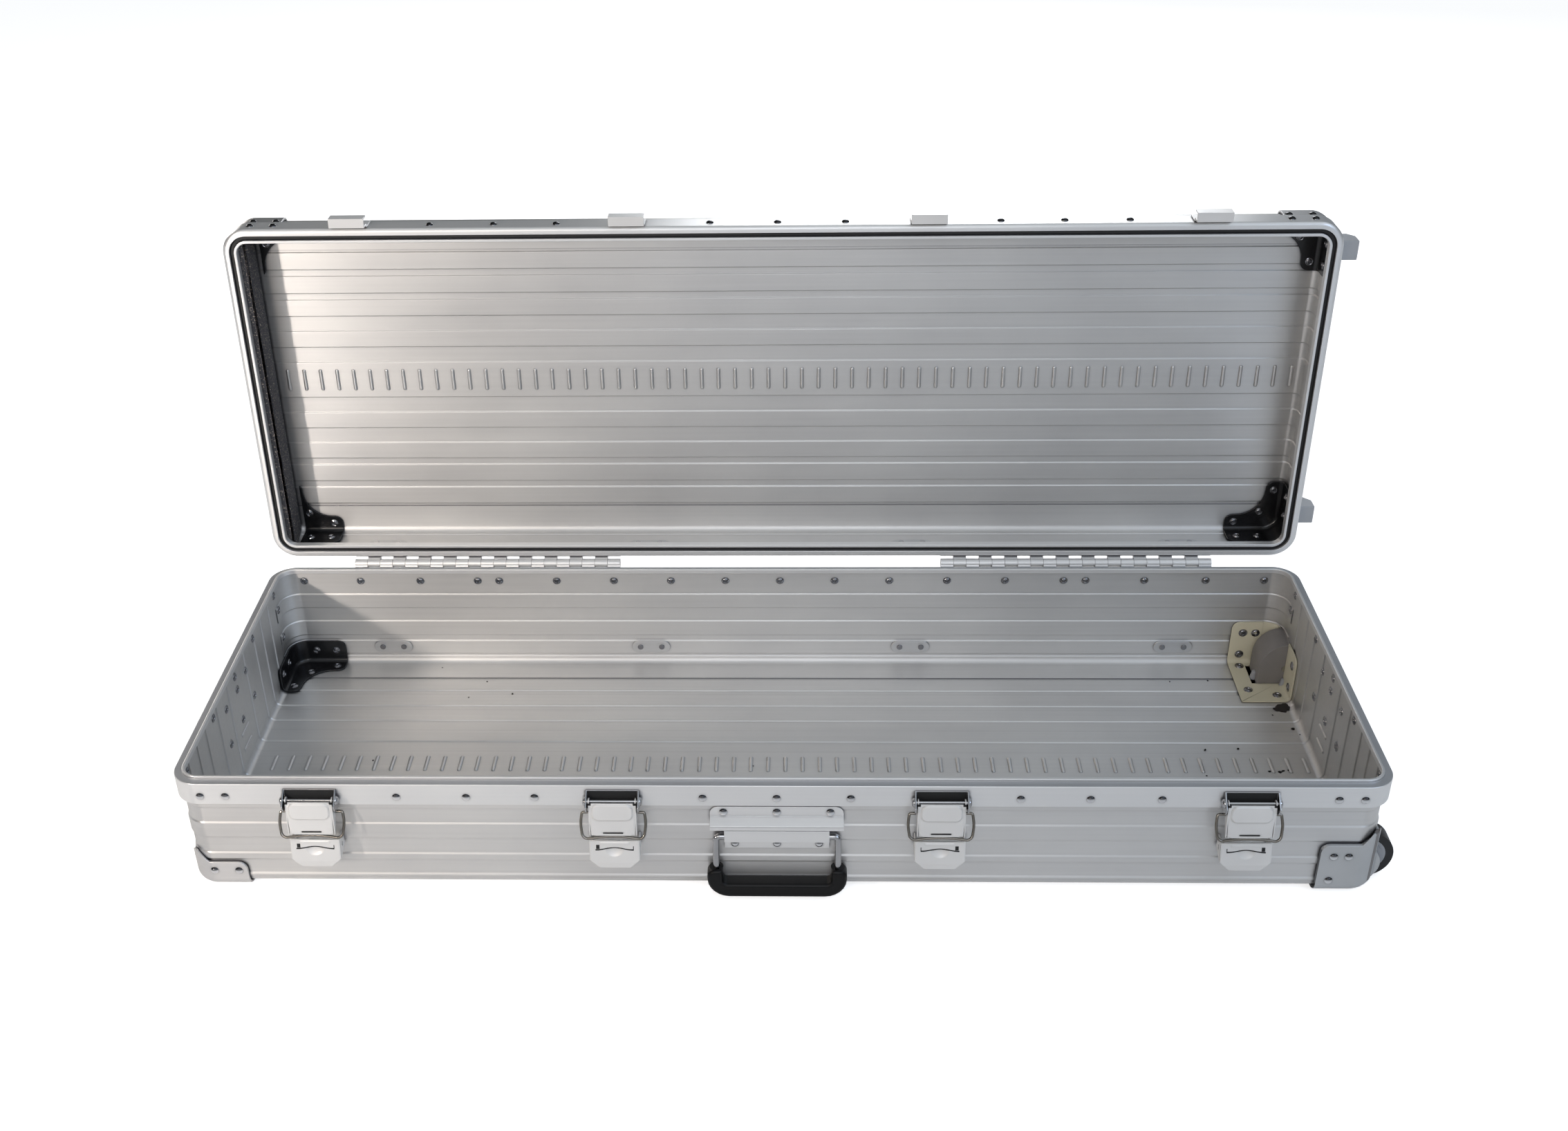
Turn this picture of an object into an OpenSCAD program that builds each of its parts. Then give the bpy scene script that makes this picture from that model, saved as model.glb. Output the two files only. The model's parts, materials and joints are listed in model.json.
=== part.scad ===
// Long aluminium transport case on two wheels, lid open on its stop.
// X runs along the case, Y from the latches to the hinges, Z up from the floor.

/* [Case] */
// Outer length over the rims
case_length = 1200; // [1000:1:1400]
// Outer width over the rims
case_width = 406; // [380:1:460]
// Height of the base rim's top above the floor
base_height = 135.5; // [132:0.5:170]
// Depth of the lid from its mouth to the outside of its panel
lid_depth = 54; // [50:0.5:80]
// Gap between the two rims when the lid is shut
lid_gap = 0.5; // [0.3:0.1:1]
// Angle of the open lid
lid_open = 91.1; // [85:0.1:100]

/* [Sheets] */
// Sheet thickness
sheet_t = 1.5; // [1.2:0.1:2]
// Depth of the pressed ribs
rib_step = 1.2; // [0.8:0.1:1.4]
// Distance of the walls inside the rims' outer faces
wall_inset = 4.5; // [4:0.1:6]
// Outer radius of the rims' corners
corner_r = 28; // [26:0.5:34]
// Radius of the rolled edge between floor and walls
roll_r = 10; // [8:0.5:12]
// Sheet strip of the end walls that belongs to each side sheet
seam_reach = 41.3; // [38:0.1:50]

/* [Rims] */
// Height of each rim's outer leg
rim_leg = 25; // [22:0.5:27]
// Thickness of the rims' flanges
rim_t = 2.5; // [2:0.1:3]
// Width of the base rim's cap
rim_cap = 11; // [10.8:0.1:11.4]
// Height of the base rim's tongue above its cap
tongue_h = 3.1; // [2:0.1:3.4]
// Thickness of the tongue
tongue_t = 3; // [2.6:0.1:3.2]
// Width of the lid rim's flange outside its groove
lid_flange = 7.6; // [7:0.1:7.7]
// Width of the groove that holds the gasket
groove_w = 5; // [4.6:0.1:6]
// Width of the lid rim's inner lip
lip_w = 3.2; // [2.5:0.1:4]
// Depth of the lid rim from its mouth to the sheet's edge
lid_rim_d = 8; // [7.5:0.1:10]
// Roundness of the lid rim's outer edge
rim_round = 4; // [2:0.1:5]
// Thickness of the gasket
gasket_t = 3.2; // [2.5:0.1:3.4]

/* [Corners] */
// Thickness of the sheet corner guards
guard_t = 2.5; // [2:0.1:3]
// Reach of the corner guards along the walls
guard_leg = 62; // [55:1:75]
// Height of the base guards above the sheet's underside
guard_top = 30.5; // [28:0.5:40]
// Height of the base guards at the vertical corner
guard_peak = 41.5; // [41:0.5:50]
// Thickness of the cast wheel corners on the walls
cast_t = 4.5; // [3.5:0.1:5]
// Reach of the wheel corners along the long walls
cast_leg = 63.5; // [60:0.5:75]
// Height of the wheel corners above the sheet's underside
cast_top = 59.8; // [58:0.5:64]
// Height of the wheel corners at the vertical corner
cast_peak = 74; // [70:0.5:80]
// Reach of the lid's corner guards
lid_guard_leg = 60; // [55:1:70]
// Thickness of the inner corner plates
plate_t = 2; // [1.5:0.1:3]

/* [Wheels] */
// Wheel radius
wheel_r = 28; // [24:0.5:29]
// Tyre width
wheel_w = 20; // [18:0.5:22]
// Distance of the axle inside the rim's end face
axle_inset = 8.5; // [6:0.5:12]
// Distance of the wheel's outer face inside the rim's side face
wheel_inset = 27; // [25:0.5:32]
// Axle radius
axle_r = 4; // [3:0.1:5]
// Gap round the wheel in its well
well_gap = 5.5; // [4:0.1:7]

/* [Latches] */
// Distance of the outer latches inside the rims' ends
latch_end = 141; // [112:1:180]
// Distance of the inner latches from the middle
latch_inner = 160.5; // [110:1:180]
// Width over a latch bracket
bracket_w = 52.6; // [50:0.1:56]
// Radius of the latch pin
pin_r = 1.8; // [1.5:0.1:2.2]
// Width of the lever at its pin
lever_w = 47; // [44:0.1:47.6]
// Width over the bail's wire
bail_w = 64.6; // [63:0.1:70]
// Wire diameter of the bail
bail_wire = 2.6; // [2:0.1:3]
// Width of the catch plate
catch_w = 49.9; // [48:0.1:54]
// Width of the keeper
keeper_w = 38; // [34:0.5:42]

/* [Hinges] */
// Inner end of each piano hinge from the middle
hinge_in = 189; // [170:1:220]
// Distance of the piano hinges' outer ends inside the rims' ends
hinge_end = 95; // [60:1:130]
// Radius of the hinge knuckles
knuckle_r = 5; // [4.5:0.1:5.4]
// Distance of the hinge pin behind the rims
hinge_off = 8.3; // [8.2:0.1:9.5]
// Radius of the hinge pin
hinge_pin_r = 1.5; // [1.2:0.1:2]
// Knuckles on each hinge
knuckles = 21; // [17:2:25]

/* [Handles] */
// Width of a handle plate
hplate_w = 132; // [128:1:140]
// Diameter of the handle's wire
handle_wire = 6.8; // [6:0.1:7]
// Half distance between the handle's arms
arm_x = 60.5; // [60:0.1:64]
// Width over the grip
grip_w = 139.5; // [139:0.5:146]
// Depth of the grip
grip_d = 17; // [15:0.5:17.5]
// Height of the grip's bar
grip_bar = 16.5; // [14:0.5:18]

/* [Hidden] */
$fn = 48;
cut = 1;
run_gap = 0.05;
arc_steps = 6;

// Planes of the walls and axes of the vertical corners
half_l = case_length / 2;
half_w = case_width / 2;
wall_x = half_l - wall_inset;
wall_y = half_w - wall_inset;
axis_x = half_l - corner_r;
axis_y = half_w - corner_r;
wall_q = corner_r - wall_inset;
seam_y = half_w - seam_reach;
lid_plane = base_height + lid_gap;
latch_outer = half_l - latch_end;
hinge_out = half_l - hinge_end;
hinge_y = half_w + hinge_off;
hinge_z = lid_plane;
base_sheet_h = base_height - rim_t - guard_t;
lid_sheet_h = lid_depth - lid_rim_d;
lid_roof = lid_plane + lid_depth;
full_turn = 360;

// Rib edges: distances from the centre line as shares of the way to the seam, and heights
// on the long walls as shares of the base's height
floor_rib_shares =
  [0.1356, 0.2536, 0.3766, 0.4921, 0.6164, 0.6666, 0.7972, 0.8474, 0.9767];
wall_rib_shares = [0.081, 0.107, 0.244, 0.306, 0.454, 0.594, 0.734];
floor_ribs = [for (s = floor_rib_shares) s * seam_y];
wall_ribs = [for (s = wall_rib_shares) s * base_height];
lid_ribs = [roll_r + rib_step];

// Rivets and screws
head_r = 4.1;
head_h = 2.4;
tail_r = 3.5;
tail_h = 1.2;
tail_hole = 1.5;
front_rivet_shares = [0, 0.1207, 0.3958, 0.5083, 0.6233];
rear_rivet_shares = [0, 0.1073, 0.2145, 0.3272, 0.4403, 0.5543, 0.597, 0.711, 0.83, 0.943];
end_rivet_shares = [0, 0.368];
corner_rivets_in = [56, 31];
end_rivet_in = 39;
rim_rivet_drop = 15.3;
rim_rivet_z = base_height - rim_rivet_drop;
lid_rivet_w = 12.5;
seam_rivet_in = 2.6;
rivet_clear = 0.4;
function under_rib(i) = guard_t + wall_ribs[i] - head_r - rivet_clear;

// Rivets of the corner pieces: distance inside the rims' outer faces, then height
cast_rivets = [[50, 48.6], [35.4, 48.6], [50.8, 18.1]];
cast_end_rivets = [[78, 48.6], [77, 18.1]];
cast_floor_rivets = [[51, 18.3], [51.5, 67], [20.4, 77.5]];
guard_rivets = [[28, 22.5], [53, 22.5]];
lid_guard_rivets = [[29, 32], [54, 32]];
black_wall_rivets = [[36, 20.5], [60, 20.5]];
black_floor_rivets = [[61.5, 19.5], [33, 33], [19.5, 61.5]];

// Outlines of the corner pieces
ramp_out = 24;
ramp_in = 12;
leg_cut = 9;
inner_off = rib_step + sheet_t;
ivory_leg_x = 35.5;
ivory_leg_y = 62;
ivory_top = 61;
arm_len = 72;
arm_w = 28.5;
arm_end_r = 9;
arm_fillet = 32;
black_top = 33.5;

// Latch places: depths are counted outwards from the long wall, heights from the base
// rim's top, so they are negative
pin_d = 10.3;
pin_z = -15.1;
bracket_t = 1.5;
bracket_front = 19;
bracket_top = -5;
bracket_low = -27;
cheek_slope_z = -16.5;
cheek_front_z = -18.5;
cheek_low_d = 17;
cheek_low_z = -23.5;
cheek_foot_d = 12;
pin_head_r = 4.2;
pin_head_t = 1.6;
lever_t = 1.2;
lever_top_d = 14.6;
lever_top_z = -14.5;
lever_low_d = 19.5;
lever_low_z = -50.5;
lever_low_w = 42.6;
lever_ear_r = 3.7;
lever_back_d = 6.7;
lever_lug_d = 6;
tab_rise = 0.9;
tab_w = 40.2;
tab_top_in = 1;
tab_len = 17.5;
tab_r = 7;
bail_d = 8.5;
bail_z = -30;
bail_bar_d = 20;
bail_bar_z = -54;
bail_bend = 6;
bail_elbow = 2;
bail_foot = 1.3;
catch_t = 1.4;
catch_top_d = 14.7;
catch_top_z = -61;
catch_low_d = 20.6;
catch_low_z = -84;
catch_end_z = -90.5;
catch_cut = 9;
catch_slot_w = 38;
catch_slot_h = 8.5;
catch_slot_z = -71.5;
catch_hole_r = 2.6;
catch_hole_d = 8;
keeper_t = 1.8;
keeper_stand = 3.4;
keeper_drop = 7.5;
keeper_mouth = 6.8;
keeper_lip = 13;
keeper_base = 22;
keeper_foot = 5;

// Hinge leaves
leaf_t = 2.5;
leaf_h = 24;
leaf_start = 6;
knuckle_gap = 0.3;
knuckle_len = (hinge_out - hinge_in) / knuckles;

// Handles: depths outwards from the wall, heights from the base rim's top
hplate_t = 1.5;
hplate_top = -28.5;
hood_top = -40;
hood_d = 11;
hood_low = -47;
hood_lip = 4;
hplate_r = 8;
trough_w = 104;
trough_top = -51.5;
trough_face = -66;
trough_low = -71;
trough_foot = -81;
trough_d = 10.9;
handle_pivot_d = 5.6;
handle_pivot_z = -62.5;
pivot_in = 4.5;
wire_elbow = 4;
arm_low_d = 13.2;
arm_low_z = -112;
grip_low_z = -130.5;
grip_top_z = -96.5;
grip_back_d = 2.7;
grip_r = 22;
grip_in_r = 4;
grip_leg = 15.5;
grip_round = 5;
// Rivet rows: reach of the outer two from the middle, and height
front_rivet_rows = [[52.7, -35], [42, -75.2]];
end_rivet_rows = [[36.5, -35], [45, -75.2]];
end_handle_up = 3;

// Wheel wells
well_wall = 2;
well_out = 3.5;
well_in = 5;
cheek_r = 22;
cheek_t = 6.5;
cheek_dx = -9.5;
cheek_dz = -3.5;
hub_disc_r = 16.4;
hub_proud = 2;
tyre_bore = 20;
well_y = half_w - wheel_inset;
wheel_x = half_l - axle_inset;
arch_r = wheel_r + well_gap + well_wall;
inner_y = well_y - wheel_w - well_in;
outer_y = well_y + well_out;
axle_len = outer_y + cheek_t - inner_y + well_wall;

// Backing plates, bumpers, feet and foam
backing_x_shares = [0.26, 0.7825];
backing_w = 45.7;
backing_h = 15.3;
backing_t = 1.5;
backing_clear = 0.1;
backing_z = guard_t + wall_ribs[2] - backing_h / 2 - backing_clear;
backing_lid_w = 20;
screw_gap = 12.8;
screw_r = 3.4;
screw_h = 1.6;
bumper_t = 6;
feet_d = 28.5;
feet_w_in = 26;
feet_w_out = 50;
feet_h = 22;
feet_in = 30;
feet_chamfer = 8;
foam_t = 16.5;
foam_foot_t = 12;
foam_in = 42.5;
foam_clear = 0.3;
foam_fit = inner_off + foam_clear;
foam_back = foam_fit + tail_h - wall_x;
foam_reach = half_l + foam_back + foam_t;

silver = "#c9cacb";
steel = "#b9bbbd";
ivory = "#ded9c4";
black = "#1c1c1e";

// Bounding box is centred on the origin, with the open lid behind the base
front_reach = wall_y + lever_low_d + bail_wire;
rear_reach = hinge_y + lid_depth + guard_t;
base_y = (front_reach - rear_reach) / 2;

module on_base() translate([0, base_y, 0]) children();

// Lid pieces are drawn shut, then swung open about the hinge pins
module on_lid()
  on_base()
    translate([0, hinge_y, hinge_z])
      rotate([-lid_open, 0, 0])
        translate([0, -hinge_y, -hinge_z])
          children();

// Turns the tray shapes over for the lid
module as_roof() translate([0, 0, lid_roof]) mirror([0, 0, 1]) children();
module as_floor() translate([0, 0, guard_t]) children();

function arc(cx, cy, rx, ry, from, to, steps = arc_steps) =
  [for (i = [0 : steps])
    let (a = from + (to - from) * i / steps)
      [cx + rx * cos(a), cy + ry * sin(a)]];
function reverse(list) = [for (i = [len(list) - 1 : -1 : 0]) list[i]];

// Sweeps an outline round the case: first number outwards from the corner axis, then height
module run_x(points, from, to)
  translate([from, 0, 0]) rotate([90, 0, 90]) linear_extrude(to - from) polygon(points);
module run_y(points, from, to)
  translate([0, to, 0]) rotate([90, 0, 0]) linear_extrude(to - from) polygon(points);
module both_sides() {
  children();
  mirror([0, 1, 0]) children();
}
module both_ends() {
  children();
  mirror([1, 0, 0]) children();
}
module ring(points) {
  both_sides() translate([0, axis_y, 0]) run_x(points, -axis_x, axis_x);
  both_ends() translate([axis_x, 0, 0]) run_y(points, -axis_y, axis_y);
  both_ends() both_sides()
    translate([axis_x, axis_y, 0]) rotate_extrude(angle = 90) polygon(points);
}

// Outline of a ribbed sheet: floor, rolled edge and wall, ribs stepping inwards
function rib_in(i) = i % 2 == 0 ? rib_step : 0;
function skin_out(start, ribs, top) = concat(
  [[start, rib_step]],
  arc(wall_q - roll_r, roll_r, roll_r - rib_step, roll_r - rib_step, -90, 0),
  [for (i = [0 : len(ribs) - 1]) each [
    [wall_q - rib_in(i), ribs[i]],
    [wall_q - rib_in(i + 1), ribs[i]]]],
  [[wall_q - rib_in(len(ribs)), top]]);
function rib_turn(i) = sheet_t * (rib_in(i) - rib_in(i + 1)) / rib_step;
function skin_in(start, ribs, top) = concat(
  [[start, rib_step + sheet_t]],
  arc(wall_q - roll_r, roll_r, roll_r - rib_step - sheet_t, roll_r - rib_step - sheet_t,
      -90, 0),
  [for (i = [0 : len(ribs) - 1]) each [
    [wall_q - sheet_t - rib_in(i), ribs[i] + rib_turn(i)],
    [wall_q - sheet_t - rib_in(i + 1), ribs[i] + rib_turn(i)]]],
  [[wall_q - sheet_t - rib_in(len(ribs)), top]]);
function skin(start, ribs, top) =
  concat(skin_out(start, ribs, top), reverse(skin_in(start, ribs, top)));

// One side sheet with the corners that it wraps
module side_sheet(ribs, top) {
  floor_start = seam_y - axis_y;
  translate([0, axis_y, 0]) run_x(skin(floor_start, ribs, top), -axis_x, axis_x);
  both_ends() {
    translate([axis_x, axis_y, 0]) rotate_extrude(angle = 90) polygon(skin(0, ribs, top));
    translate([axis_x, 0, 0]) run_y(skin(0, ribs, top), seam_y, axis_y);
  }
}

// U-shaped sheet: floor and both end walls at one rib level
function u_line(inset, top) = concat(
  [[-wall_x + inset, top]],
  arc(-wall_x + roll_r, roll_r, roll_r - inset, roll_r - inset, 180, 270),
  arc(wall_x - roll_r, roll_r, roll_r - inset, roll_r - inset, 270, 360),
  [[wall_x - inset, top]]);
function u_skin(inset, top) =
  concat(u_line(inset, top), reverse(u_line(inset + sheet_t, top)));
module u_sheet(top) {
  edges = concat([0], floor_ribs, [seam_y]);
  last = len(edges) - 2;
  both_sides()
    for (i = [0 : last])
      run_y(u_skin(rib_in(i), top),
        i == 0 ? 0 : edges[i] - sheet_t / 2,
        i == last ? edges[i + 1] : edges[i + 1] + sheet_t / 2);
}

// Place of a corner: its own axis at the origin, outwards along +X and +Y
module corner(sx, sy)
  translate([sx * axis_x, sy * axis_y, 0])
    mirror([sx < 0 ? 1 : 0, 0, 0]) mirror([0, sy < 0 ? 1 : 0, 0])
      children();

// Shell over or inside a corner between two offsets of the sheet, walls and floor apart
function corner_line(in_wall, in_floor, top) = concat(
  [[0, in_floor]],
  arc(wall_q - roll_r, roll_r, roll_r - in_wall, roll_r - in_floor, -90, 0),
  [[wall_q - in_wall, top]]);
function corner_skin(a_wall, a_floor, b_wall, b_floor, top) = concat(
  corner_line(a_wall, a_floor, top), reverse(corner_line(b_wall, b_floor, top)));
module corner_shell(a_wall, a_floor, b_wall, b_floor, leg_x, leg_y, top) {
  outline = corner_skin(a_wall, a_floor, b_wall, b_floor, top);
  rotate_extrude(angle = 90) polygon(outline);
  run_x(outline, -leg_x, 0);
  run_y(outline, -leg_y, 0);
  translate([-leg_x, -leg_y, a_floor]) cube([leg_x, leg_y, b_floor - a_floor]);
}

// Wall heights of a corner piece: level, then rising to the vertical corner
function wall_profile(leg, top, peak, far) = concat(
  [[-leg, -far]],
  arc(leg_cut - leg, top - leg_cut, leg_cut, leg_cut, 180, 90, 4),
  [[corner_r - ramp_out, top], [corner_r - ramp_in, peak], [far, peak], [far, -far]]);
module leg_clip(leg_x, leg_y, top, peak) {
  far = corner_r + cast_peak;
  intersection() {
    translate([0, far, 0]) rotate([90, 0, 0])
      linear_extrude(far + leg_y + cut) polygon(wall_profile(leg_x, top, peak, far));
    translate([-leg_x - cut, 0, 0]) rotate([90, 0, 90])
      linear_extrude(far + leg_x + cut) polygon(wall_profile(leg_y, top, peak, far));
  }
}

module rivet_head() {
  cap_h = head_h / 3;
  rotate_extrude()
    polygon(concat([[0, 0], [head_r, 0]], arc(0, cap_h, head_r, head_h - cap_h, 0, 90, 3)));
}
module rivet_tail()
  difference() {
    cylinder(r = tail_r, h = tail_h);
    translate([0, 0, tail_h / 2]) cylinder(r = tail_hole, h = tail_h);
  }

// Rivet through a wall: depth and height of its outside seat, thickness down to its tail
module side_rivet(x, y, z, through) {
  translate([x, y, z]) rotate([-90, 0, 0]) rivet_head();
  translate([x, y - through, z]) rotate([90, 0, 0]) rivet_tail();
}
module end_rivet(x, y, z, through) {
  translate([x, y, z]) rotate([0, 90, 0]) rivet_head();
  translate([x - through, y, z]) rotate([0, -90, 0]) rivet_tail();
}

// Sheets
module base_floor_sheet()
  color(silver) on_base() difference() {
    as_floor() u_sheet(base_sheet_h);
    wheel_openings();
  }
module base_side_sheets()
  color(silver) on_base() difference() {
    as_floor() both_sides() side_sheet(wall_ribs, base_sheet_h);
    wheel_openings();
  }
module lid_panel_sheet() color(silver) on_lid() as_roof() u_sheet(lid_sheet_h);
module lid_side_sheets()
  color(silver) on_lid() as_roof() both_sides() side_sheet(lid_ribs, lid_sheet_h);

// Rims
module base_rim() {
  q = corner_r;
  low = base_height - rim_leg;
  color(silver) on_base() ring([
    [q, low], [q, base_height], [q - rim_cap + tongue_t, base_height],
    [q - rim_cap + tongue_t, base_height + tongue_h], [q - rim_cap, base_height + tongue_h],
    [q - rim_cap, base_height - rim_t], [wall_q, base_height - rim_t], [wall_q, low]]);
}
module lid_rim() {
  q = corner_r;
  z = lid_plane;
  groove_z = z + lid_rim_d - rim_t + cut;
  color(silver) on_lid() ring(concat(
    [[wall_q, z + rim_leg], [q, z + rim_leg]],
    arc(q - rim_round, z + rim_round, rim_round, rim_round, 0, -90, 4),
    [[q - lid_flange, z], [q - lid_flange, groove_z],
      [q - lid_flange - groove_w, groove_z], [q - lid_flange - groove_w, z],
      [q - lid_flange - groove_w - lip_w, z],
      [q - lid_flange - groove_w - lip_w, z + lid_rim_d], [wall_q, z + lid_rim_d]]));
}
module lid_gasket() {
  q = corner_r - lid_flange;
  top = lid_plane + lid_rim_d - rim_t + cut;
  color(black) on_lid() ring([
    [q, top - gasket_t], [q, top], [q - groove_w, top], [q - groove_w, top - gasket_t]]);
}

// How far the sheet's innermost band that a tail reaches lies inside: on the end walls
// by the distance from the centre line, on the long walls by the height
tail_reach = tail_r + sheet_t / 2;
function band_depth(ribs, place) = max([for (off = [-tail_reach, 0, tail_reach])
  rib_in(len([for (r = ribs) if (r < place + off) r]))]);
function end_depth(y) = band_depth(floor_ribs, abs(y));
function wall_depth(z) = band_depth(wall_ribs, z - guard_t);

// Rivets of the rims on the long walls, thicker under the hinge leaves
rim_through = wall_inset + sheet_t;
module front_rivets(z) {
  for (s = front_rivet_shares, side = s == 0 ? [1] : [-1, 1])
    mirror([0, 1, 0]) side_rivet(side * s * half_l, half_w, z, rim_through);
  for (x = corner_rivets_in, side = [-1, 1])
    mirror([0, 1, 0]) side_rivet(side * (half_l - x), half_w, z, rim_through);
}
module rear_rivets(z)
  for (s = rear_rivet_shares, side = s == 0 ? [1] : [-1, 1]) {
    x = s * half_l;
    leaf = x > hinge_in && x < hinge_out ? leaf_t : 0;
    side_rivet(side * x, half_w + leaf, z, rim_through + leaf);
  }
module end_rivets(z)
  both_ends() {
    for (s = end_rivet_shares, side = s == 0 ? [1] : [-1, 1])
      end_rivet(half_l, side * s * half_w, z, rim_through + end_depth(s * half_w));
    both_sides() end_rivet(half_l, half_w - end_rivet_in, z, rim_through);
  }
module seam_rivet(z)
  end_rivet(wall_x - rib_step, seam_y + head_r + seam_rivet_in, z, sheet_t);
module base_rivets_front() color(steel) on_base() front_rivets(rim_rivet_z);
module base_rivets_rear() color(steel) on_base() rear_rivets(rim_rivet_z);
module base_rivets_ends()
  color(steel) on_base() {
    end_rivets(rim_rivet_z);
    both_sides() {
      both_ends() seam_rivet(under_rib(6));
      mirror([1, 0, 0]) seam_rivet(under_rib(4));
    }
  }
module lid_rivets_front()
  color(steel) on_lid() {
    front_rivets(lid_plane + lid_rivet_w);
    end_rivets(lid_plane + lid_rivet_w);
  }
module lid_rivets_rear() color(steel) on_lid() rear_rivets(lid_plane + lid_rivet_w);

// Corner guards of bent sheet
module base_guard(sy)
  color(silver) on_base() as_floor() corner(-1, sy) intersection() {
    leg = guard_leg - corner_r;
    corner_shell(-guard_t, -guard_t, 0, 0, leg, leg, guard_peak);
    leg_clip(leg, leg, guard_top, guard_peak);
  }
module guard_front_left() base_guard(-1);
module guard_rear_left() base_guard(1);
module lid_corner_guards()
  color(silver) on_lid() as_roof()
    for (sx = [-1, 1], sy = [-1, 1]) corner(sx, sy) {
      leg = lid_guard_leg - corner_r;
      corner_shell(-guard_t, -guard_t, 0, 0, leg, leg, lid_depth - rim_leg);
    }

// Cast wheel corners: outer wings, wheel arch and fork cheek, with the axle's bore
module well_shape(r, from, to, low)
  translate([wheel_x, to, wheel_r]) rotate([90, 0, 0]) linear_extrude(to - from) {
    circle(r);
    translate([-r, -low]) square([2 * r, low]);
  }
module wheel_openings()
  both_sides() well_shape(arch_r, inner_y - well_wall, outer_y + cheek_t, wheel_r + cut);
module wheel_corner() {
  leg_x = cast_leg - corner_r;
  leg_y = cast_leg + wheel_inset - corner_r;
  difference() {
    union() {
      difference() {
        as_floor() corner(1, 1) intersection() {
          corner_shell(-cast_t, -guard_t, 0, 0, leg_x, leg_y, cast_peak);
          leg_clip(leg_x, leg_y, cast_top, cast_peak);
        }
        translate([half_l - cast_t - cut, inner_y, -cut])
          cube([cast_t + 2 * cut, outer_y - inner_y, wheel_r + cut]);
      }
      intersection() {
        well_shape(arch_r, inner_y - well_wall, outer_y + cheek_t, wheel_r);
        translate([axis_x - cast_leg, 0, 0])
          cube([cast_leg + corner_r - wall_inset, half_w, cast_peak + guard_t]);
        as_floor() corner(1, 1) corner_body(0, cast_leg + wheel_inset);
      }
      translate([wheel_x + cheek_dx, outer_y + cheek_t, wheel_r + cheek_dz])
        rotate([90, 0, 0]) cylinder(r = cheek_r, h = cheek_t);
    }
    well_shape(wheel_r + well_gap, inner_y, outer_y, wheel_r + cut);
    translate([wheel_x, outer_y + cheek_t + cut, wheel_r]) rotate([90, 0, 0])
      cylinder(r = axle_r + run_gap, h = axle_len + 2 * cut);
  }
}
// Everything inside the sheet of one corner, down to a given offset
module corner_body(inset, far) {
  outline = concat([[0, inset]],
    arc(wall_q - roll_r, roll_r, roll_r - inset, roll_r - inset, -90, 0),
    [[wall_q - inset, cast_peak], [0, cast_peak]]);
  rotate_extrude(angle = 90) polygon(outline);
  run_x(outline, -far, 0);
  run_y(outline, -far, 0);
  translate([-far, -far, inset]) cube([far, far, cast_peak - inset]);
}
module wheel_corner_rear() color("#a9acb0") on_base() wheel_corner();
module wheel_corner_front() color("#a9acb0") on_base() mirror([0, 1, 0]) wheel_corner();

// Plates inside the corners
module ivory_plate() {
  difference() {
    as_floor() corner(1, 1) intersection() {
      corner_shell(inner_off, inner_off, inner_off + plate_t, inner_off + plate_t,
        ivory_leg_x, ivory_leg_y, ivory_top);
      leg_clip(ivory_leg_x, ivory_leg_y, ivory_top, ivory_top);
    }
    well_shape(arch_r + run_gap, inner_y - well_wall - run_gap, outer_y + cheek_t + run_gap,
      wheel_r + cut);
  }
}
module inner_plate_rear_right() color(ivory) on_base() ivory_plate();
module inner_plate_front_right() color(ivory) on_base() mirror([0, 1, 0]) ivory_plate();
// Black plate: two arms along the edges with round ends and a wide fillet between them
module arm_outline(leg) {
  inner = corner_r - arm_w;
  polygon(concat([[corner_r, corner_r], [-leg, corner_r]],
    arc(arm_end_r - leg, inner + arm_end_r, arm_end_r, arm_end_r, 180, 270, 4),
    arc(inner - arm_fillet, inner - arm_fillet, arm_fillet, arm_fillet, 90, 0, 8),
    arc(inner + arm_end_r, arm_end_r - leg, arm_end_r, arm_end_r, 180, 270, 4),
    [[corner_r, -leg]]));
}
module black_plate() {
  leg = arm_len - corner_r;
  intersection() {
    corner_shell(inner_off, inner_off, inner_off + plate_t, inner_off + plate_t,
      leg, leg, black_top);
    linear_extrude(cast_peak) arm_outline(leg);
    leg_clip(leg, leg, black_top, black_top);
  }
}
module inner_plates_left()
  color(black) on_base() as_floor() both_sides() corner(-1, 1) black_plate();
module lid_inner_plates()
  color(black) on_lid() difference() {
    as_roof() for (sx = [-1, 1]) both_sides() corner(sx, 1) black_plate();
    translate([-half_l, -half_w, lid_plane])
      cube([foam_reach + foam_clear, case_width, lid_depth]);
  }

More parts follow.
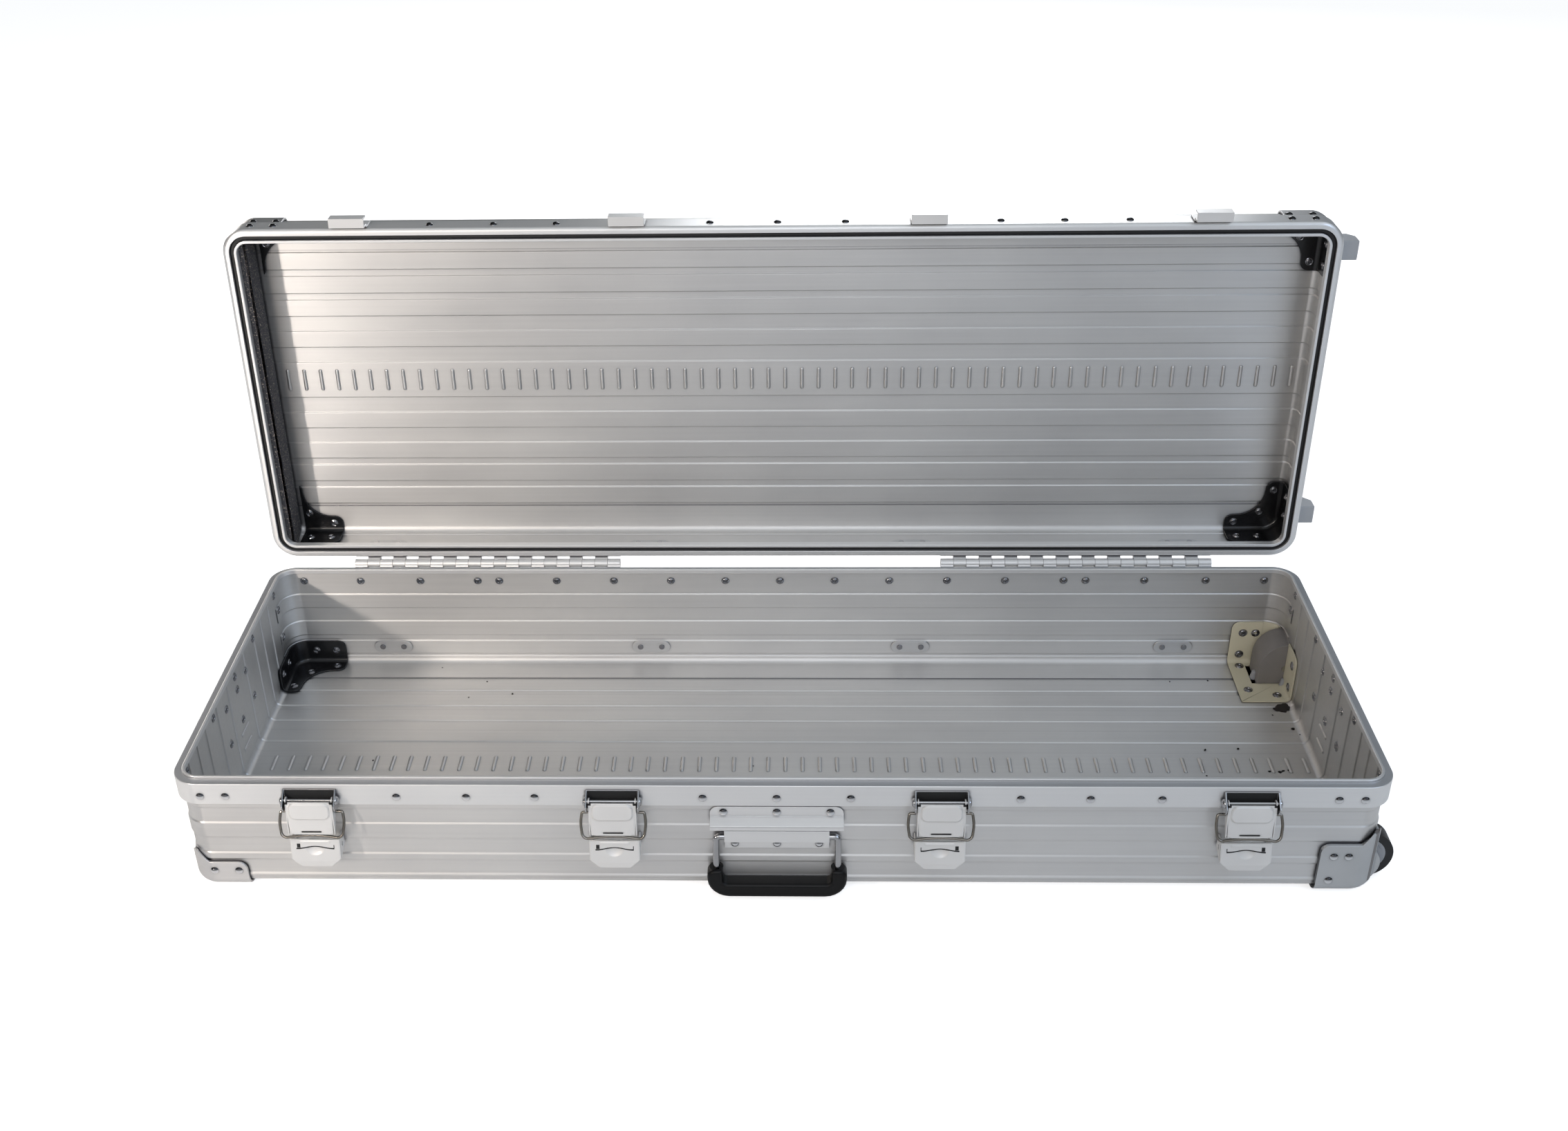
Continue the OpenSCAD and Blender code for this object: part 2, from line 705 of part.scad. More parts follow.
// Rivets of the corner pieces, with tails inside where they show
module black_plate_tails(covered = 0) {
  inside = inner_off + plate_t;
  translate([corner_r, corner_r, 0]) {
    for (p = black_wall_rivets) {
      translate([-p[0], -wall_inset - inside, p[1]]) rotate([90, 0, 0]) rivet_tail();
      if (covered == 0)
        translate([-wall_inset - inside, -p[0], p[1]]) rotate([0, -90, 0]) rivet_tail();
    }
    for (p = black_floor_rivets)
      if (p[0] > covered) translate([-p[0], -p[1], inside]) rivet_tail();
  }
}
module side_head(x, y, z) translate([x, y, z]) rotate([-90, 0, 0]) rivet_head();
module end_head(x, y, z) translate([x, y, z]) rotate([0, 90, 0]) rivet_head();
module base_corner_rivets()
  color(steel) on_base() both_sides() {
    inside = cast_t + inner_off + plate_t;
    for (p = cast_rivets) side_rivet(half_l - p[0], wall_y + cast_t, p[1], inside);
    for (p = cast_end_rivets) end_rivet(wall_x + cast_t, half_w - p[0], p[1], inside);
    for (p = cast_floor_rivets)
      translate([half_l - p[0], half_w - p[1], guard_t + inner_off + plate_t]) rivet_tail();
    for (p = guard_rivets) {
      side_head(p[0] - half_l, wall_y + guard_t, p[1]);
      mirror([1, 0, 0]) end_head(wall_x + guard_t, half_w - p[0], p[1]);
    }
    as_floor() corner(-1, 1) black_plate_tails();
  }
module lid_corner_rivets()
  color(steel) on_lid() {
    both_sides() for (p = lid_guard_rivets) {
      both_ends() side_head(half_l - p[0], wall_y + guard_t, lid_plane + p[1]);
      mirror([1, 0, 0]) end_head(wall_x + guard_t, half_w - p[0], lid_plane + p[1]);
    }
    as_roof() both_sides() {
      corner(1, 1) black_plate_tails();
      corner(-1, 1) black_plate_tails(foam_reach);
    }
  }

// Piano hinges: leaves on the rims, knuckles in turn on base and lid
module knuckle_row(first)
  for (i = [first : 2 : knuckles - 1])
    translate([hinge_in + i * knuckle_len + knuckle_gap / 2, 0, 0]) rotate([90, 0, 90])
      linear_extrude(knuckle_len - knuckle_gap) children();
module leaf_profile(dir) {
  difference() {
    union() {
      circle(knuckle_r);
      polygon([[-hinge_off, dir * leaf_start], [-hinge_off, dir * (leaf_start + leaf_t)],
        [leaf_t - hinge_off, dir * (leaf_start + leaf_t)], [0, dir * knuckle_r],
        [-knuckle_r, 0]]);
    }
    circle(hinge_pin_r + run_gap);
  }
}
module hinge_leaf(dir, first, height) {
  translate([0, hinge_y, hinge_z]) knuckle_row(first) leaf_profile(dir);
  low = dir < 0 ? height - leaf_h : height + leaf_start;
  translate([hinge_in, half_w, low])
    cube([hinge_out - hinge_in, leaf_t, leaf_h - leaf_start]);
}
module hinge_leaf_base_right() color(silver) on_base() hinge_leaf(-1, 0, hinge_z);
module hinge_leaf_base_left()
  color(silver) on_base() mirror([1, 0, 0]) hinge_leaf(-1, 0, hinge_z);
module hinge_leaf_lid_right() color(silver) on_lid() hinge_leaf(1, 1, hinge_z);
module hinge_leaf_lid_left()
  color(silver) on_lid() mirror([1, 0, 0]) hinge_leaf(1, 1, hinge_z);
module hinge_pins()
  color(steel) on_base() both_ends()
    translate([hinge_in, hinge_y, hinge_z]) rotate([0, 90, 0])
      cylinder(r = hinge_pin_r, h = hinge_out - hinge_in);

// Latches: x across, y outwards from the wall, z up from the base rim's top
latch_places = [-latch_outer, -latch_inner, latch_inner, latch_outer];
module on_front(x)
  on_base() translate([x, -wall_y, base_height]) mirror([0, 1, 0]) children();
module side_plate(outline, x, t)
  translate([x, 0, 0]) rotate([90, 0, 90]) linear_extrude(t) polygon(outline);
module cross_pin(r, d, z, from, to)
  translate([from, d, z]) rotate([0, 90, 0]) cylinder(r = r, h = to - from);

module latch_brackets()
  color(steel) for (x = latch_places) on_front(x) {
    difference() {
      union() {
        cheek = [[wall_inset, bracket_low], [cheek_foot_d, bracket_low],
          [cheek_low_d, cheek_low_z], [bracket_front, cheek_front_z],
          [bracket_front, cheek_slope_z], [wall_inset + bracket_t, bracket_top],
          [wall_inset, bracket_top]];
        for (side = [-bracket_w / 2, bracket_w / 2 - bracket_t])
          side_plate(cheek, side, bracket_t);
        translate([-bracket_w / 2, wall_inset, bracket_low])
          cube([bracket_w, bracket_t, bracket_top - bracket_low]);
      }
      cross_pin(pin_r + run_gap, pin_d, pin_z, -bracket_w, bracket_w);
    }
  }
module latch_pins()
  color(steel) for (x = latch_places) on_front(x) {
    half = bracket_w / 2;
    cross_pin(pin_r, pin_d, pin_z, -half - pin_head_t, half + pin_head_t);
    cross_pin(pin_head_r, pin_d, pin_z, -half - pin_head_t, -half);
    cross_pin(pin_head_r, pin_d, pin_z, half, half + pin_head_t);
  }

// Lever: sloping plate, two flanges that carry pin and bail, pressed tab
lever_lean = atan((lever_low_d - lever_top_d) / (lever_top_z - lever_low_z));
lever_len = norm([lever_low_d - lever_top_d, lever_top_z - lever_low_z]);
module lever_flange(x)
  side_plate([[lever_top_d, lever_top_z], [lever_low_d, lever_low_z],
    [lever_low_d - lever_t, lever_low_z], [lever_lug_d + bail_wire, bail_z - bail_wire],
    [lever_lug_d, bail_z], [lever_back_d, bail_z + bail_wire], [lever_back_d, pin_z],
    [pin_d, pin_z + lever_ear_r]], x, lever_t);
module latch_lever(i)
  color("#e6e4e1") on_front(latch_places[i]) difference() {
    union() {
      translate([0, lever_top_d, lever_top_z]) rotate([90 + lever_lean, 0, 0])
        mirror([0, 1, 0]) {
          linear_extrude(lever_t) polygon([[-lever_w / 2, 0], [lever_w / 2, 0],
            [lever_low_w / 2, lever_len], [-lever_low_w / 2, lever_len]]);
          translate([0, 0, -tab_rise]) linear_extrude(tab_rise) tab_outline();
        }
      for (x = [-lever_w / 2, lever_w / 2 - lever_t]) {
        lever_flange(x);
        cross_pin(lever_ear_r, pin_d, pin_z, x, x + lever_t);
      }
    }
    cross_pin(pin_r + run_gap, pin_d, pin_z, -lever_w, lever_w);
    cross_pin(bail_wire / 2 + run_gap, bail_d, bail_z, -lever_w, lever_w);
  }
module tab_outline() {
  half = tab_w / 2;
  polygon(concat(
    arc(half - tab_r, tab_top_in + tab_r, tab_r, tab_r, 0, -90, 4),
    arc(tab_r - half, tab_top_in + tab_r, tab_r, tab_r, 270, 180, 4),
    arc(tab_r - half, tab_top_in + tab_len - tab_r, tab_r, tab_r, 180, 90, 4),
    arc(half - tab_r, tab_top_in + tab_len - tab_r, tab_r, tab_r, 90, 0, 4)));
}
module latch_lever_1() latch_lever(0);
module latch_lever_2() latch_lever(1);
module latch_lever_3() latch_lever(2);
module latch_lever_4() latch_lever(3);

// Wire loop in its own plane: feet at the origin height, arms down, bar across
module elbow(bend, wire)
  rotate_extrude(angle = 90) translate([bend, 0]) circle(d = wire);
module wire_loop(half, drop, wire, bend, elbow_r, foot) {
  for (side = [0, 1]) mirror([side, 0, 0]) {
    translate([half - foot, 0, 0]) rotate([0, 90, 0])
      cylinder(d = wire, h = foot - elbow_r);
    translate([half - elbow_r, 0, -elbow_r]) rotate([90, 0, 0]) elbow(elbow_r, wire);
    translate([half, 0, bend - drop]) cylinder(d = wire, h = drop - bend - elbow_r);
    translate([half - bend, 0, bend - drop]) rotate([-90, 0, 0]) elbow(bend, wire);
  }
  translate([bend - half, 0, -drop]) rotate([0, 90, 0])
    cylinder(d = wire, h = 2 * (half - bend));
}
bail_drop = norm([bail_bar_d - bail_d, bail_z - bail_bar_z]);
bail_lean = atan((bail_bar_d - bail_d) / (bail_z - bail_bar_z));
module latch_bail(i)
  color(steel) on_front(latch_places[i])
    translate([0, bail_d, bail_z]) rotate([bail_lean, 0, 0])
      wire_loop((bail_w - bail_wire) / 2, bail_drop, bail_wire, bail_bend, bail_elbow,
        (bail_w - bail_wire - lever_w) / 2 + lever_t + bail_foot);
module latch_bail_1() latch_bail(0);
module latch_bail_2() latch_bail(1);
module latch_bail_3() latch_bail(2);
module latch_bail_4() latch_bail(3);

// Catch plates under the levers: bent plate with cut lower corners, cheeks to the wall
module latch_catches()
  color("#e6e4e1") for (x = latch_places) on_front(x) difference() {
    intersection() {
      union() {
        side_plate([[catch_top_d, catch_top_z], [catch_low_d, catch_low_z],
          [catch_low_d, catch_end_z], [catch_low_d - catch_t, catch_end_z],
          [catch_low_d - catch_t, catch_low_z], [catch_top_d - catch_t, catch_top_z]],
          -catch_w / 2, catch_w);
        for (side = [-catch_w / 2, catch_w / 2 - catch_t])
          side_plate([[0, catch_top_z], [catch_top_d, catch_top_z],
            [catch_low_d, catch_low_z], [0, catch_slot_z - catch_slot_h / 2]],
            side, catch_t);
      }
      translate([0, catch_low_d, 0]) rotate([90, 0, 0]) linear_extrude(catch_low_d)
        polygon([[-catch_w / 2, catch_top_z], [catch_w / 2, catch_top_z],
          [catch_w / 2, catch_end_z + catch_cut], [catch_w / 2 - catch_cut, catch_end_z],
          [catch_cut - catch_w / 2, catch_end_z], [-catch_w / 2, catch_end_z + catch_cut]]);
    }
    translate([-catch_slot_w / 2, catch_hole_d, catch_slot_z - catch_slot_h / 2])
      cube([catch_slot_w, catch_low_d, catch_slot_h]);
    cross_pin(catch_hole_r, catch_hole_d, catch_slot_z, -catch_w, catch_w);
  }

// Keepers: hooks on the lid's rim that the bails pull down
module keepers()
  color("#dddddc") on_lid() for (x = latch_places)
    translate([x, -half_w, lid_plane]) mirror([0, 1, 0])
      side_plate([[0, keeper_foot], [keeper_stand, 0],
        [keeper_stand, -keeper_drop],
        [keeper_stand + 2 * keeper_t + keeper_mouth, -keeper_drop],
        [keeper_stand + 2 * keeper_t + keeper_mouth, keeper_lip - keeper_drop],
        [keeper_stand + keeper_t + keeper_mouth, keeper_lip - keeper_drop],
        [keeper_stand + keeper_t + keeper_mouth, keeper_t - keeper_drop],
        [keeper_stand + keeper_t, keeper_t - keeper_drop],
        [keeper_stand + keeper_t, keeper_foot - keeper_t],
        [keeper_t, keeper_foot + keeper_t], [keeper_t, keeper_base], [0, keeper_base]],
        -keeper_w / 2, keeper_w);

// Drop handles: plate with hood and trough, bent wire and moulded grip
module on_wall(where)
  on_base()
    if (where == "front")
      translate([0, -wall_y, base_height]) mirror([0, 1, 0]) children();
    else if (where == "left")
      translate([-wall_x, 0, base_height + end_handle_up]) rotate([0, 0, 90]) children();
    else
      translate([wall_x, 0, base_height + end_handle_up]) rotate([0, 0, -90]) children();
module handle_plate() {
  half = hplate_w / 2;
  translate([0, hplate_t, 0]) rotate([90, 0, 0]) linear_extrude(hplate_t)
    polygon(concat([[trough_w / 2, trough_foot], [trough_w / 2, hood_low], [half, hood_low]],
      arc(half - hplate_r, hplate_top - hplate_r, hplate_r, hplate_r, 0, 90, 4),
      arc(hplate_r - half, hplate_top - hplate_r, hplate_r, hplate_r, 90, 180, 4),
      [[-half, hood_low], [-trough_w / 2, hood_low], [-trough_w / 2, trough_foot]]));
  side_plate([[0, hood_top], [hplate_t, hood_top], [hood_d, hood_low + hplate_t],
    [hood_d, hood_low], [hood_d - hood_lip, hood_low],
    [hood_d - hood_lip, hood_low + hplate_t], [hood_d - hplate_t, hood_low + hplate_t],
    [0, hood_top - hplate_t]], -half, hplate_w);
  side_plate([[trough_d - hood_lip, trough_top], [trough_d, trough_top],
    [trough_d, trough_face], [hplate_t, trough_low], [hplate_t, trough_foot],
    [0, trough_foot], [0, trough_low + hplate_t],
    [trough_d - hplate_t, trough_face + hplate_t / 2],
    [trough_d - hplate_t, trough_top - hplate_t],
    [trough_d - hood_lip, trough_top - hplate_t]], -trough_w / 2, trough_w);
  for (side = [-trough_w / 2, trough_w / 2 - hplate_t])
    difference() {
      side_plate([[0, hood_low], [hplate_t, hood_low], [trough_d, trough_top],
        [trough_d, trough_face], [hplate_t, trough_low], [0, trough_low]],
        side, hplate_t);
      cross_pin(handle_wire / 2 + run_gap, handle_pivot_d, handle_pivot_z,
        -hplate_w, hplate_w);
    }
}
handle_walls = ["front", "left", "right"];
module handle_plates() color(silver) for (w = handle_walls) on_wall(w) handle_plate();
module handle_rivets()
  color(steel) for (w = handle_walls) on_wall(w)
    for (row = w == "front" ? front_rivet_rows : end_rivet_rows, side = [-1, 0, 1])
      side_rivet(side * row[0], hplate_t, row[1], hplate_t + sheet_t +
        (w == "front" ? wall_depth(base_height + row[1]) : end_depth(side * row[0])));

// The wire lies in one leaning plane: stub into the trough, elbow, arm into the grip
arm_drop = norm([handle_pivot_z - arm_low_z, arm_low_d - handle_pivot_d]);
arm_lean = atan((arm_low_d - handle_pivot_d) / (handle_pivot_z - arm_low_z));
module in_wire_plane()
  translate([0, handle_pivot_d, handle_pivot_z]) rotate([arm_lean, 0, 0])
    for (side = [0, 1]) mirror([side, 0, 0]) children();
module handle_arm()
  in_wire_plane() translate([arm_x, 0, -arm_drop])
    cylinder(d = handle_wire, h = arm_drop - wire_elbow);
module handle_wire_shape()
  color(steel) {
    handle_arm();
    in_wire_plane() {
      translate([arm_x - wire_elbow, 0, -wire_elbow]) rotate([90, 0, 0])
        elbow(wire_elbow, handle_wire);
      cross_pin(handle_wire / 2, 0, 0, trough_w / 2 - hplate_t - pivot_in, arm_x - wire_elbow);
    }
  }
module grip_outline() {
  half = grip_w / 2;
  inner = half - grip_leg;
  inner_z = grip_low_z + grip_bar;
  polygon(concat(
    [[half - grip_round, grip_top_z], [half, grip_top_z - grip_round]],
    arc(half - grip_r, grip_low_z + grip_r, grip_r, grip_r, 0, -90),
    arc(grip_r - half, grip_low_z + grip_r, grip_r, grip_r, 270, 180),
    [[-half, grip_top_z - grip_round], [grip_round - half, grip_top_z],
      [-inner, grip_top_z]],
    arc(grip_in_r - inner, inner_z + grip_in_r, grip_in_r, grip_in_r, 180, 270, 3),
    arc(inner - grip_in_r, inner_z + grip_in_r, grip_in_r, grip_in_r, 270, 360, 3),
    [[inner, grip_top_z]]));
}
module handle_grip_shape()
  color(black) difference() {
    translate([0, grip_back_d + grip_d, 0]) rotate([90, 0, 0])
      linear_extrude(grip_d) grip_outline();
    handle_arm();
  }
module handle_wire_front() on_wall("front") handle_wire_shape();
module handle_grip_front() on_wall("front") handle_grip_shape();
module handle_wire_left() on_wall("left") handle_wire_shape();
module handle_grip_left() on_wall("left") handle_grip_shape();
module handle_wire_right() on_wall("right") handle_wire_shape();
module handle_grip_right() on_wall("right") handle_grip_shape();

// Oval plates inside the rear walls, their screws and the bumpers outside
module oval(t) {
  end = (backing_w - backing_h) / 2;
  translate([-end, -backing_h / 2, 0]) cube([2 * end, backing_h, t]);
  for (side = [-end, end]) translate([side, 0, 0]) cylinder(d = backing_h, h = t);
}
module at_backings(z)
  for (s = backing_x_shares, side = [-1, 1])
    translate([side * s * half_l, wall_y, z]) children();
module backing_plates(z, inset)
  at_backings(z) translate([0, -inset, 0]) rotate([90, 0, 0]) oval(backing_t);
module backing_screws(z, inset)
  at_backings(z) for (x = [-screw_gap, screw_gap])
    translate([x, -inset - backing_t, 0]) rotate([90, 0, 0]) cylinder(r = screw_r, h = screw_h);
module bumpers(z, inset)
  at_backings(z) translate([0, -inset, 0]) rotate([-90, 0, 0]) oval(bumper_t);
lid_backing_z = lid_plane + backing_lid_w;
module base_backing_plates() color(steel) on_base() backing_plates(backing_z, inner_off);
module base_backing_screws() color(steel) on_base() backing_screws(backing_z, inner_off);
module base_bumpers() color(black) on_base() bumpers(backing_z, rib_step);
module lid_backing_plates() color(steel) on_lid() backing_plates(lid_backing_z, sheet_t);
module lid_backing_screws() color(steel) on_lid() backing_screws(lid_backing_z, sheet_t);

// Feet on the lid's right end, for standing the case on end
module standing_feet()
  color("#a9acb0") on_lid() both_sides()
    translate([0, half_w - feet_in, 0]) rotate([90, 0, 0]) linear_extrude(feet_h)
      polygon([[wall_x + guard_t, lid_plane + feet_w_in],
        [wall_x + feet_d, lid_plane + feet_w_in],
        [wall_x + feet_d, lid_plane + feet_w_out - feet_chamfer],
        [wall_x + feet_d - feet_chamfer, lid_plane + feet_w_out],
        [wall_x + guard_t, lid_plane + feet_w_out]]);

// Foam strip along the lid's left end, cut to fit the rolled edges
module foam_strip()
  color("#3b3a3a") on_lid() intersection() {
    as_roof() both_sides() corner(-1, 1) corner_body(foam_fit, axis_y);
    translate([foam_back, wall_y, lid_roof - foam_fit]) rotate([90, 0, 0])
      linear_extrude(2 * wall_y)
        polygon([[0, 0], [foam_foot_t, 0], [foam_t, -foam_in], [0, -foam_in]]);
  }

// Wheels and axles
module at_wheel(y) translate([wheel_x, y, wheel_r]) rotate([90, 0, 0]) children();
module wheel_tyre()
  at_wheel(well_y) difference() {
    cylinder(r = wheel_r, h = wheel_w, $fn = 96);
    translate([0, 0, -cut]) cylinder(r = tyre_bore, h = wheel_w + 2 * cut);
  }
module wheel_hub()
  at_wheel(well_y) difference() {
    union() {
      cylinder(r = tyre_bore, h = wheel_w);
      translate([0, 0, -hub_proud]) cylinder(r = hub_disc_r, h = hub_proud);
    }
    translate([0, 0, -hub_proud - cut])
      cylinder(r = axle_r + run_gap, h = wheel_w + hub_proud + 2 * cut);
  }
module wheel_axles()
  color(steel) on_base() both_sides()
    at_wheel(outer_y + cheek_t) cylinder(r = axle_r, h = axle_len);
module wheel_tyre_rear() color(black) on_base() wheel_tyre();
module wheel_tyre_front() color(black) on_base() mirror([0, 1, 0]) wheel_tyre();
module wheel_hub_rear() color("#8e9196") on_base() wheel_hub();
module wheel_hub_front() color("#8e9196") on_base() mirror([0, 1, 0]) wheel_hub();

base_floor_sheet();
base_side_sheets();
base_rim();
base_rivets_front();
base_rivets_rear();
base_rivets_ends();
guard_front_left();
guard_rear_left();
wheel_corner_front();
wheel_corner_rear();
inner_plate_front_right();
inner_plate_rear_right();
inner_plates_left();
base_corner_rivets();
hinge_leaf_base_left();
hinge_leaf_base_right();
hinge_pins();
latch_brackets();
latch_catches();
latch_pins();
handle_plates();
handle_rivets();
base_backing_plates();
base_backing_screws();
base_bumpers();
wheel_axles();
lid_panel_sheet();
lid_side_sheets();
lid_rim();
lid_gasket();
lid_rivets_front();
lid_rivets_rear();
lid_corner_guards();
lid_inner_plates();
lid_corner_rivets();
foam_strip();
keepers();
hinge_leaf_lid_left();
hinge_leaf_lid_right();
lid_backing_plates();
lid_backing_screws();
standing_feet();
latch_lever_1();
latch_lever_2();
latch_lever_3();
latch_lever_4();
latch_bail_1();
latch_bail_2();
latch_bail_3();
latch_bail_4();
handle_wire_front();
handle_grip_front();
handle_wire_left();
handle_grip_left();
handle_wire_right();
handle_grip_right();
wheel_tyre_front();
wheel_hub_front();
wheel_tyre_rear();
wheel_hub_rear();
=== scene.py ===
"""Long aluminium transport case on two wheels, lid open on its stop."""
import json
import math
import random

import bmesh
import bpy
import numpy as np
from mathutils import Matrix, Vector


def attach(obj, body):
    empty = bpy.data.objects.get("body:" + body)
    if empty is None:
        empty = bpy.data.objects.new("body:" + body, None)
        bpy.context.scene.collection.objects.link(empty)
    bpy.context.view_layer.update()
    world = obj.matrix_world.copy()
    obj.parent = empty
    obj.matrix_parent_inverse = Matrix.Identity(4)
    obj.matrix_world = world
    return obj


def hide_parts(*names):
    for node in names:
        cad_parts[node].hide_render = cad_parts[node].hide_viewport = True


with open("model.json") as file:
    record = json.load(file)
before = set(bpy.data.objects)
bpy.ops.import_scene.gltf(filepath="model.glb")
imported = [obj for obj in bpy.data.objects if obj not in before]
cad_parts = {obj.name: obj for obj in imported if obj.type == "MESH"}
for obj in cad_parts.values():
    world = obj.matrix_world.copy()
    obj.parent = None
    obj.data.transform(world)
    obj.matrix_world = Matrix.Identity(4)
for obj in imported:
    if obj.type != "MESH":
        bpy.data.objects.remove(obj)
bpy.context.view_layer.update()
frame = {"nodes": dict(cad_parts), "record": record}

# Sizes of the case in millimetres, as in the part's source
MM = 0.001
SIDES = (-1, 1)
HALF_L, HALF_W, CORNER_R, WALL_BACK = 600.0, 203.0, 28.0, 4.5
BASE_TOP, PLANE, LID_DEPTH, GUARD_T = 135.5, 136.0, 54.0, 2.5
AXIS_X, AXIS_Y = HALF_L - CORNER_R, HALF_W - CORNER_R
WALL_X, WALL_Y, WALL_Q = HALF_L - WALL_BACK, HALF_W - WALL_BACK, CORNER_R - WALL_BACK
SHEET_T, RIB_STEP, ROLL_R, SEAM_Y = 1.5, 1.2, 10.0, 161.7
RIM_LEG, RIM_T, RIM_CAP, TONGUE_H, TONGUE_T = 25.0, 2.5, 11.0, 3.1, 3.0
LID_FLANGE, GROOVE_W, LIP_W, LID_RIM_D, RIM_ROUND, GROOVE_UP = 7.6, 5.0, 3.2, 8.0, 4.0, 1.0
BASE_SHEET_H, LID_SHEET_H = BASE_TOP - RIM_T - GUARD_T, LID_DEPTH - LID_RIM_D
HINGE_Y, BASE_Y, OPEN = 211.3, -23.6, math.radians(91.1)
WHEEL_X, WHEEL_Z, ARCH_R, ARCH_IN, ARCH_OUT = 591.5, 28.0, 35.5, 149.0, 186.0
LATCH_X = (-459.0, -160.5, 160.5, 459.0)

# Edges of the pressed ribs, as shares of the half width and of the base's height
FLOOR_RIB_SHARES = (0.1356, 0.2536, 0.3766, 0.4921, 0.6164, 0.6666, 0.7972, 0.8474, 0.9767)
WALL_RIB_SHARES = (0.081, 0.107, 0.244, 0.306, 0.454, 0.594, 0.734)
FLOOR_RIBS = [SEAM_Y * share for share in FLOOR_RIB_SHARES]
WALL_RIBS = [BASE_TOP * share for share in WALL_RIB_SHARES]
LID_RIBS = [ROLL_R + RIB_STEP]
# Half width of a rib's slope, softer on the front walls, and where its points lie across it
RIB_SOFT, FRONT_RIB_SOFT = 0.9, 1.6
SLOPE_SHARES = (-1, -0.55, -0.2, 0.2, 0.55, 1)
CORNER_STEPS, ROLL_STEPS, ARCH_STEPS = 14, 10, 32

# Row of pressed beads: its pitch, its count each way and how far it sits off the middle
BEAD_PITCH, BEADS_EACH_WAY, COMB_DX, COMB_DY = 19.11, 30, 7.0, 4.0
BEAD_LENGTH, BEAD_WIDTH, BEAD_HEIGHT = 27.0, 4.6, 1.4
BEAD_PROFILE = ((1.0, -0.15), (0.8, 0.5), (0.45, 0.9), (0.0, 1.0))
BEAD_ROUNDS = 16
END_WALL_BEADS = (27.8, 46.8)


# Places: each takes a point in millimetres
def on_base(p):
    return (p[0], p[1] + BASE_Y, p[2])


def on_lid(p):
    """A lid point is given with the lid shut and comes out with the lid open."""
    y, z = p[1] - HINGE_Y, p[2] - PLANE
    c, s = math.cos(OPEN), math.sin(OPEN)
    return (p[0], HINGE_Y + y * c + z * s + BASE_Y, PLANE - y * s + z * c)


def on_base_sheet(p):
    """The base's sheets are drawn upwards from their own underside."""
    return on_base((p[0], p[1], p[2] + GUARD_T))


def on_lid_sheet(p):
    """The lid's sheets are drawn downwards from its roof."""
    return on_lid((p[0], p[1], PLANE + LID_DEPTH - p[2]))


def on_front(x):
    """Across from x, depth outwards from the front wall, height above the floor."""
    return lambda p: on_base((x + p[0], -(WALL_Y + p[1]), p[2]))


def as_drawn(p):
    return p


# Mesh making
DOUBLE, SLIVER = 2e-6, 1e-6  # In metres: closer corners are one, and shorter edges go


def tidy(mesh, angle=32):
    """Merges doubled points, turns faces outwards and smooths all but the sharp edges."""
    bm = bmesh.new()
    bm.from_mesh(mesh)
    bmesh.ops.remove_doubles(bm, verts=bm.verts, dist=DOUBLE)
    bmesh.ops.dissolve_degenerate(bm, dist=SLIVER, edges=bm.edges)
    bmesh.ops.recalc_face_normals(bm, faces=bm.faces)
    bm.to_mesh(mesh)
    bm.free()
    mesh.polygons.foreach_set("use_smooth", [True] * len(mesh.polygons))
    mesh.set_sharp_from_angle(angle=math.radians(angle))


def apply_changes(obj):
    """Gives an object the shape that its modifiers make."""
    bpy.context.view_layer.update()
    done = bpy.data.meshes.new_from_object(obj.evaluated_get(bpy.context.evaluated_depsgraph_get()))
    obj.modifiers.clear()
    obj.data = done


def even(obj):
    """Weighs the normals by face size, so that wide faces stay flat beside eased edges."""
    change = obj.modifiers.new("even", "WEIGHTED_NORMAL")
    change.keep_sharp = True
    apply_changes(obj)


def settle(obj, finish, body, nodes=()):
    """Gives a new piece its material, its body and the nodes that it stands for."""
    even(obj)
    obj.data.materials.clear()
    obj.data.materials.append(finish)
    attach(obj, body)
    if nodes:
        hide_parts(*nodes)
    return obj


def piece(name, parts, place, finish, body, nodes=(), angle=32):
    """One object from several (points, faces) lists given in millimetres."""
    points, faces = [], []
    for part_points, part_faces in parts:
        start = len(points)
        points += [tuple(c * MM for c in place(p)) for p in part_points]
        faces += [tuple(start + i for i in f) for f in part_faces]
    mesh = bpy.data.meshes.new(name)
    mesh.from_pydata(points, [], faces)
    tidy(mesh, angle)
    obj = bpy.data.objects.new(name, mesh)
    bpy.context.scene.collection.objects.link(obj)
    return settle(obj, finish, body, nodes)


def cut(obj, parts):
    """Cuts closed shapes, given as for the base, out of a piece."""
    cutter = piece("cutter", parts, on_base, SHEET, "base")
    change = obj.modifiers.new("cut", "BOOLEAN")
    change.object, change.operation, change.solver = cutter, "DIFFERENCE", "EXACT"
    apply_changes(obj)
    tidy(obj.data, 50)
    even(obj)
    bpy.data.objects.remove(cutter)


def loft(loops, closed=False):
    """Joins loops of equal length; an open loft gets its two ends."""
    n, points, faces = len(loops[0]), [p for loop in loops for p in loop], []
    last = len(loops) if closed else len(loops) - 1
    for k in range(last):
        a, b = k * n, (k + 1) % len(loops) * n
        faces += [(a + i, a + (i + 1) % n, b + (i + 1) % n, b + i) for i in range(n)]
    if not closed:
        faces += [tuple(range(n)), tuple(range((len(loops) - 1) * n, len(loops) * n))[::-1]]
    return points, faces


def arc(cx, cy, r, start, end, steps):
    """Points on a circle from one angle to another, in degrees."""
    return [(cx + r * math.cos(math.radians(start + (end - start) * i / steps)),
             cy + r * math.sin(math.radians(start + (end - start) * i / steps)))
            for i in range(steps + 1)]


